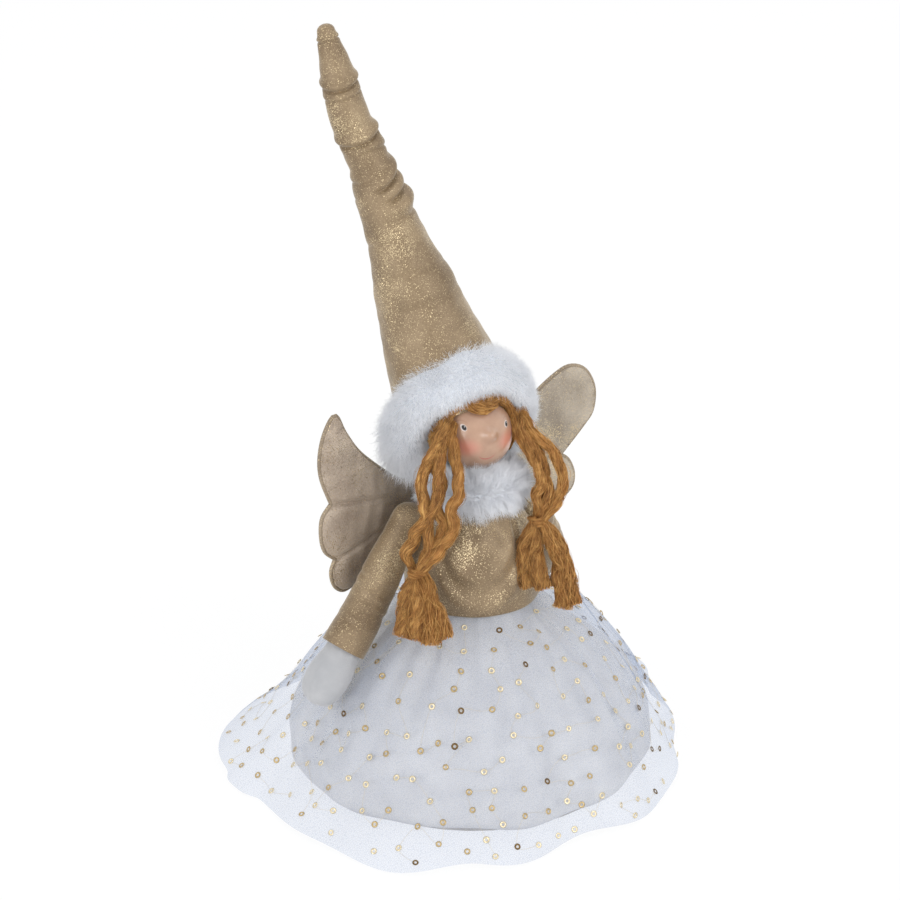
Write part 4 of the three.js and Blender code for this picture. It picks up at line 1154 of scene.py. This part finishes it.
def add_hand(side, path):
    end = int(arm_places * (hand_length + wrist_length) / arm_length)
    share = np.linspace(0, 1, end) * (hand_length + wrist_length) / hand_length
    radii = palm_radius * eased(share, hand_width_shares)
    rings, out = rings_along(path[:end], upright, radii[:, None], hand_sides)
    turn = angles(hand_sides)
    seam = -0.35 * mm * hill(np.minimum(turn, circle - turn), 0.12)
    gathers = 0.25 * mm * np.sin(turn * 9 + 1) * np.clip(share - 0.75, 0, 1)[:, None] * 3
    rings = rings + out * ((seam + gathers)[..., None] + dents(rings, (0.3 * mm, 10 * mm, 97)))
    hand = add_piece(f"mitten_{side}", *loft(rings), materials["white"])
    dress(hand, "white_cloth", f"{side}_arm", f"hand_{side}", fill=0.8)


# Wings

wing_width = 68 * mm
wing_height = 89 * mm
wing_sweep = {"right": math.radians(17), "left": 0.0}
wing_lobe_shares = {
    "right": [
        [(0, 0.073), (0.23, 0.1), (0.37, 0.155), (0.553, 0.275), (0.672, 0.37), (0.77, 0.485),
         (0.845, 0.59),
         (0.932, 0.521), (0.981, 0.4), (0.973, 0.278), (0.894, 0.119)],
        [(0.894, 0.119), (0.972, 0.054), (0.984, -0.046), (0.953, -0.132), (0.869, -0.195)],
        [(0.869, -0.195), (0.905, -0.262), (0.882, -0.339), (0.822, -0.383), (0.753, -0.384),
         (0.629, -0.34),
         (0.446, -0.225), (0.2, -0.1), (0, -0.073)],
    ],
    "left": [
        [(0, 0.073), (0.23, 0.1), (0.36, 0.17), (0.46, 0.29), (0.583, 0.414), (0.757, 0.515), (0.87, 0.545),
         (0.98, 0.508), (1.05, 0.4), (1.042, 0.275), (0.974, 0.198), (0.799, 0.049)],
        [(0.799, 0.049), (0.862, 0.008), (0.904, -0.077), (0.88, -0.16), (0.752, -0.235)],
        [(0.752, -0.235), (0.745, -0.29), (0.68, -0.335), (0.593, -0.325), (0.47, -0.25), (0.2, -0.1),
         (0, -0.073)],
    ],
}

# The line through the middle of each wing, from the root towards the tip of the top lobe.
wing_spine_shares = {
    "right": [(0, 0), (0.45, 0.02), (0.7, 0.15), (0.85, 0.42)],
    "left": [(0, 0), (0.4, 0.04), (0.65, 0.2), (0.88, 0.36)],
}
wing_puff = 2.7 * mm
wing_groove_depth = 1.9 * mm
wing_fold_width = 8 * mm
wing_edge_half_thickness = 0.5 * mm
piping_radius = 1.0 * mm


def anchored(outline, spine):
    """For each point of an outline, a place on the spine near it, with no jump between neighbours."""
    line = smooth_path(spine, 200)
    nearest = np.linalg.norm(outline[:, None] - line[None], axis=2).argmin(1)
    even = np.convolve(np.pad(nearest, 8, mode="edge"), np.ones(17) / 17, "valid")
    steps = np.arange(len(even))
    even = even * np.clip(np.minimum(steps, steps[::-1]) / 14, 0, 1)
    return line[np.round(even).astype(int)]


def wing_relief(grid, outline, notches):
    """Half the wing's thickness: full in the lobes, thin at the edge and along quilted grooves."""
    away = np.linalg.norm(grid - outline[None], axis=-1)
    root = np.linspace(outline[-1], outline[0], 9)
    hemmed = np.vstack([outline[::3], root])
    edge_gap = np.min(np.linalg.norm(grid[:, :, None] - hemmed[None, None], axis=-1), axis=2)
    puff = wing_puff * (1 - np.exp(-edge_gap / (4.2 * mm)))
    for notch in notches:
        direction, length = unit(notch), np.linalg.norm(notch)
        beside = grid @ np.array([-direction[1], direction[0]])
        reach = np.clip((grid @ direction - 0.35 * length) / (0.5 * length), 0, 1)
        puff = puff - wing_groove_depth * reach * hill(beside, 1.3 * mm)
    out, up = grid[..., 0], grid[..., 1]
    puff = puff + 0.6 * mm * hill(out, 36 * mm) * np.sin((out + 0.22 * up) / wing_fold_width * circle)
    puff = puff + 0.3 * mm * ripple(on_plane(grid), 9 * mm, 121)
    return (np.maximum(puff, 0.35 * mm) + wing_edge_half_thickness) * (away > 0)


def on_plane(places):
    """Points on the upright plane through the origin, from places across and up."""
    return np.stack([places[..., 0], places[..., 0] * 0, places[..., 1]], -1)


def on_wing_seam(points, side):
    """Turns points made for the doll's left, facing front, onto the wing's root seam."""
    turn = -sides[side] * wing_sweep[side]
    x, y = points[:, 0] * sides[side], points[:, 1]
    turned_x = x * math.cos(turn) - y * math.sin(turn)
    turned_y = x * math.sin(turn) + y * math.cos(turn)
    return np.column_stack([turned_x, turned_y, points[:, 2]]) + hinges[f"wing_{side}_flap"]


def add_wing(side):
    """A padded wing of two skins, with grooves from the root to the notches, and the cord round it."""
    size = np.array([wing_width, wing_height])
    lobes = [np.array(lobe) * size for lobe in wing_lobe_shares[side]]
    edges = [smooth_path(lobe, 70) for lobe in lobes]
    outline = np.vstack([edge[:-1] for edge in edges] + [edges[-1][-1:]])
    anchors = anchored(outline, np.array(wing_spine_shares[side]) * size)
    grid = anchors + (outline - anchors) * np.linspace(-0.03, 1, 44)[:, None, None]
    relief = wing_relief(grid, outline, [lobe[-1] for lobe in lobes[:-1]])
    flat, lift = on_plane(grid), np.array([0, 1, 0]) * relief[..., None]
    rings = np.concatenate([flat - lift, (flat + lift)[::-1][1:]])
    index = np.arange(rings.size // 3).reshape(rings.shape[:2])
    quads = np.stack([index[:-1, :-1], index[1:, :-1], index[1:, 1:], index[:-1, 1:]], -1).reshape(-1, 4)
    if sides[side] > 0:
        quads = quads[:, ::-1]
    points = on_wing_seam(rings.reshape(-1, 3), side)
    wing = add_piece(f"wing_cloth_{side}", points, [quads], materials[f"wing_{side}"])
    dress(wing, "gold_cloth", f"{side}_wing", f"wing_{side}", fill=0.6)
    edge = on_wing_seam(on_plane(outline), side)
    cord = tubes(edge[None], np.full((1, len(edge)), piping_radius), 10)
    piping = add_piece(f"wing_edge_{side}", *cord, materials["edge"])
    dress(piping, "gold_cloth", f"{side}_wing", f"wing_piping_{side}")


# Skirts

underskirt_shares = [
    (0, 0.9), (0.06, 0.985), (0.17, 1), (0.32, 0.93), (0.46, 0.79), (0.6, 0.56), (0.72, 0.36), (0.85, 0.16),
    (0.95, 0.03), (1, 0),
]
net_shares = [
    (0, 1), (0.06, 0.94), (0.17, 0.855), (0.32, 0.735), (0.46, 0.645), (0.6, 0.54), (0.72, 0.44),
    (0.85, 0.29),
    (0.95, 0.06), (1, 0),
]
net_hem_shares = [
    0.89, 1.1, 1.02, 0.92, 0.88, 0.93, 1.04, 1.085, 1, 0.975, 1.045, 0.95, 0.87, 0.895, 0.885, 0.89,
]
underskirt_radius = 84 * mm
net_radius = 104 * mm
net_hem_radius = 110 * mm
cone_clearance = 3.3 * mm
waist_radius = cone_top_radius + cone_clearance
sequin_tries = 3400
thread_radius = 0.06 * mm


def fold_waves(turn):
    return 0.55 * np.cos(7 * turn + 0.4) + 0.45 * np.cos(12 * turn + 1.9)


def underskirt_radius_at(share, turn):
    cone = cone_radius + (cone_top_radius - cone_radius) * share
    radius = waist_radius + (underskirt_radius - waist_radius) * eased(share, underskirt_shares)
    radius = np.maximum(radius, cone + cone_clearance)
    pleats = 0.5 * np.sin(19 * turn + 1) + 0.5 * np.sin(27 * turn + 2.2)
    gathered = 1.5 * mm * hill(share - 0.7, 0.28) * pleats
    low = np.clip(1 - share / 0.16, 0, 1) ** 2
    front, right = (angle_from(math.radians(middle), turn) for middle in (250, 186))
    tuck = 2.0 * mm * low * hill(front, 0.95, 4)
    full = 3.6 * mm * np.clip(1 - share / 0.35, 0, 1) * hill(right, 0.45, 4)
    return radius + 1.6 * mm * (1 - share) * fold_waves(turn) + gathered - tuck + full


def add_underskirt():
    """White padded cloth, gathered at the waist, with a soft rolled hem."""
    turn = angles(240)
    share = np.linspace(0, 1, 90)[:, None]
    ring = level_ring(turn)
    heights = skirt_bottom + skirt_height * share
    rings = ring * underskirt_radius_at(share, turn)[..., None] + upright * heights[..., None]
    rings = rings + ring * dents(rings, (1.2 * mm, 26 * mm, 131), (0.25 * mm, 8 * mm, 132))
    hem = np.linalg.norm(rings[0, :, :2], axis=1)[:, None]
    under = [ring * (hem - k * mm) + upright * skirt_bottom for k in (14, 7, 2)]
    skin = loft(np.concatenate([np.array(under), rings]), closed=False)
    skirt = add_piece("underskirt_cloth", *skin, materials["skirt"])
    dress(skirt, "wadding", "doll", "underskirt", fill=0.6)


def hem_radius_at(turn):
    shares = np.array(net_hem_shares)
    place = (turn / circle) % 1 * len(shares)
    first = np.floor(place).astype(int) % len(shares)
    ease = (1 - np.cos(math.pi * (place - np.floor(place)))) / 2
    following = shares[(first + 1) % len(shares)]
    # The hem's corner at the doll's right stands out.
    corner = 0.04 * hill(turn % circle - math.radians(174), 0.09, 4)
    return net_hem_radius * (shares[first] + (following - shares[first]) * ease + corner)


def net_place(share, turn):
    """A place on the net: 0 at the hem to 1 at the waist, and the direction round the axis."""
    full = net_radius + (hem_radius_at(turn) - net_radius) * (1 - share) ** 4
    waist = waist_radius + 0.9 * mm
    radius = waist + (full - waist) * eased(share, net_shares)
    radius = radius + 3 * mm * (1 - share) * fold_waves(turn)
    pleats = 0.5 * np.sin(23 * turn + 2) + 0.5 * np.sin(34 * turn)
    radius = radius + 1.3 * mm * np.sin(math.pi * np.clip(share, 0, 1)) * pleats
    radius = np.maximum(radius, underskirt_radius_at(share, turn) + 1.2 * mm)
    height = skirt_bottom + skirt_height * share
    hem_wave = 1.2 * mm * (1 + np.sin(9 * turn + 1.3)) * (1 - share) ** 6
    low = np.clip(1 - share / 0.02, 0, 1)
    height = height - low * (skirt_bottom - 0.8 * mm) + hem_wave
    return np.stack([radius * np.cos(turn), radius * np.sin(turn), height], -1)


def add_net():
    share = np.concatenate([[0, 0.006, 0.013], np.linspace(0.02, 1, 100)])[:, None]
    skin = loft(net_place(share, angles(360)), closed=False)
    net = add_piece("net_cloth", *skin, materials["net"])
    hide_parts("tulle_overskirt")
    trim = add_sequins()
    for piece in (net, *trim):
        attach(piece, "doll")


def net_normal(share, turn):
    step = 0.002
    up = net_place(share + step, turn) - net_place(share - step, turn)
    around = net_place(share, turn + step) - net_place(share, turn - step)
    return unit(np.cross(around, up))


def add_sequins():
    """Foil rings spread evenly over the net, and fine threads that wander from ring to ring."""
    chance = np.random.default_rng(151)
    share, turn = chance.uniform(0.012, 0.93, sequin_tries), chance.uniform(0, circle, sequin_tries)
    places = net_place(share, turn)
    wide = np.linalg.norm(places[:, :2], axis=1)
    lucky = chance.random(sequin_tries) < wide / wide.max()
    chosen = []
    for i in np.flatnonzero(lucky):
        gap = np.linalg.norm(places[chosen] - places[i], axis=1)
        if len(chosen) == 0 or gap.min() > chance.uniform(6.5, 11) * mm:
            chosen.append(i)
    rings = np.column_stack([share[chosen], turn[chosen]])
    points, faces, kinds = sequin_rings(rings, chance)
    foils = [materials[key] for key in ("pale_gold", "gold_foil", "bronze")]
    sequins = add_piece("sequin_rings", points, faces, *foils)
    sequins.data.polygons.foreach_set("material_index", kinds.astype(np.int32))
    chains = thread_chains(rings, places[chosen], chance)
    paths = np.array([thread_over_net(chain) for chain in chains])
    skin = tubes(paths, np.full(paths.shape[:2], thread_radius), 3)
    strings = add_piece("sequin_threads", *skin, materials["thread"])
    return [sequins, strings]


def thread_chains(rings, places, chance):
    """Chains of neighbouring rings, each with a turn that runs on without a jump."""
    free = np.ones(len(rings), bool)
    chains = []
    for start in chance.permutation(len(rings)):
        if not free[start]:
            continue
        free[start] = False
        chain, at = [rings[start]], start
        for _ in range(int(chance.integers(3, 11))):
            gap = np.linalg.norm(places - places[at], axis=1) * chance.uniform(0.7, 1.4, len(rings))
            gap[~free] = np.inf
            at = int(gap.argmin())
            if gap[at] > 19 * mm:
                break
            free[at] = False
            share, turn = rings[at]
            before = chain[-1][1]
            chain.append(np.array([share, before + angle_from(before, turn)]))
        if len(chain) > 2:
            chains.append(np.array(chain))
    return chains


def thread_over_net(chain):
    share, turn = smooth_path(chain, 90).T
    share = np.clip(share, 0.01, 0.95)
    return net_place(share, turn) + net_normal(share, turn) * 0.35 * mm


def sequin_rings(places, chance):
    """Points, faces and each face's foil, for rings at places on the net."""
    around, section = 14, 5
    turn = angles(around)[:, None]
    slope = angles(section)
    share, direction = places.T
    normal = unit(net_normal(share, direction) + chance.normal(size=(len(places), 3)) * 0.16)
    centre = net_place(share, direction) + normal * 0.7 * mm
    across = unit(np.cross(normal, upright + chance.normal(size=(len(places), 3)) * 0.05))
    other = np.cross(normal, across)
    spoke = across[:, None] * np.cos(turn) + other[:, None] * np.sin(turn)
    size = chance.uniform(0.8, 0.94, len(places))[:, None, None, None]
    out = (1.17 * mm + 0.5 * mm * np.cos(slope))[:, None]
    rise = (0.16 * mm * np.sin(slope))[:, None]
    points = centre[:, None, None] + size * (spoke[:, :, None] * out + normal[:, None, None] * rise)
    index = np.arange(len(places) * around * section).reshape(len(places), around, section)
    ahead, over = np.roll(index, -1, 1), np.roll(index, -1, 2)
    quads = np.stack([index, ahead, np.roll(ahead, -1, 2), over], -1).reshape(-1, 4)
    kinds = chance.choice(3, len(places), p=[0.58, 0.34, 0.08])
    return points.reshape(-1, 3), [quads], np.repeat(kinds, around * section)


# Materials by name, then every piece

add_camera()
add_lamps()
add_stage()
materials = {
    "gold": gold_cloth_material("gold_cloth"),
    # The wings' cloth is the gold cloth painted paler, a painted sheen, with a lit copy for each wing; the
    # piping is a little darker than the wings and shares their painted sheen.
    "edge": gold_cloth_material("gold_cloth_edge_painted_sheen", 0.6, (122, 107, 90), (162, 146, 125)),
    "wing_right": gold_cloth_material("gold_cloth_wing_right_painted_sheen", 0.7, (146, 130, 115), (196, 180, 162)),
    "wing_left": gold_cloth_material("gold_cloth_wing_left_painted_sheen", 1.1, (142, 130, 115), (192, 180, 163)),
    # The mittens' white cloth is painted a shaded grey, darker than the skirt's white cloth.
    "white": white_cloth_material("white_mitten_cloth_painted_shade", (176, 176, 178), (162, 163, 166), 0.45 * mm),
    "skirt": white_cloth_material("white_skirt_cloth", (230, 226, 220), (218, 214, 209), 0.3 * mm),
    "pile": pile_material("plush_pile", 0.85),
    "collar_pile": pile_material("collar_pile", 0.96),
    # The brim's backing is painted grey, a painted shade between the strands; the collar's backing is painted
    # brighter, painted light against the shade that the head casts on it.
    "brim_backing": white_cloth_material("brim_backing", (204, 208, 214), (196, 200, 207), 0.6 * mm),
    "collar_backing": white_cloth_material("collar_backing", (247, 248, 251), (236, 238, 243), 0.9 * mm),
    "wool": wool_material(),
    "net": net_material(),
    "face": painted_face_material(),
    "pale_gold": foil_material("pale_gold_foil", 212, 198, 166),
    "gold_foil": foil_material("gold_foil", 178, 156, 114),
    "bronze": foil_material("bronze_foil", 104, 82, 50),
    "thread": thread_material(),
    "card": card_material(),
    "wood": wood_material(),
    "wire": wire_material(),
}
cad_materials = {
    "card": ["base_ring", "support_cone", "cone_top_disc"],
    "white": ["waist_tie", "arm_filling_right", "arm_filling_left"],
    "wood": ["neck_dowel"],
    "wire": ["hat_wire_lower", "hat_wire_middle", "hat_wire_tip"],
    "gold": ["wing_patch"],
}
for key, names in cad_materials.items():
    for name in names:
        for slot in frame["nodes"][name].material_slots:
            slot.material = materials[key]
add_underskirt()
add_net()
add_torso()
add_collar()
add_head()
add_hair()
add_brim()
add_hat()
for side in ("right", "left"):
    add_arm(side)
    add_wing(side)
    add_braid(side)
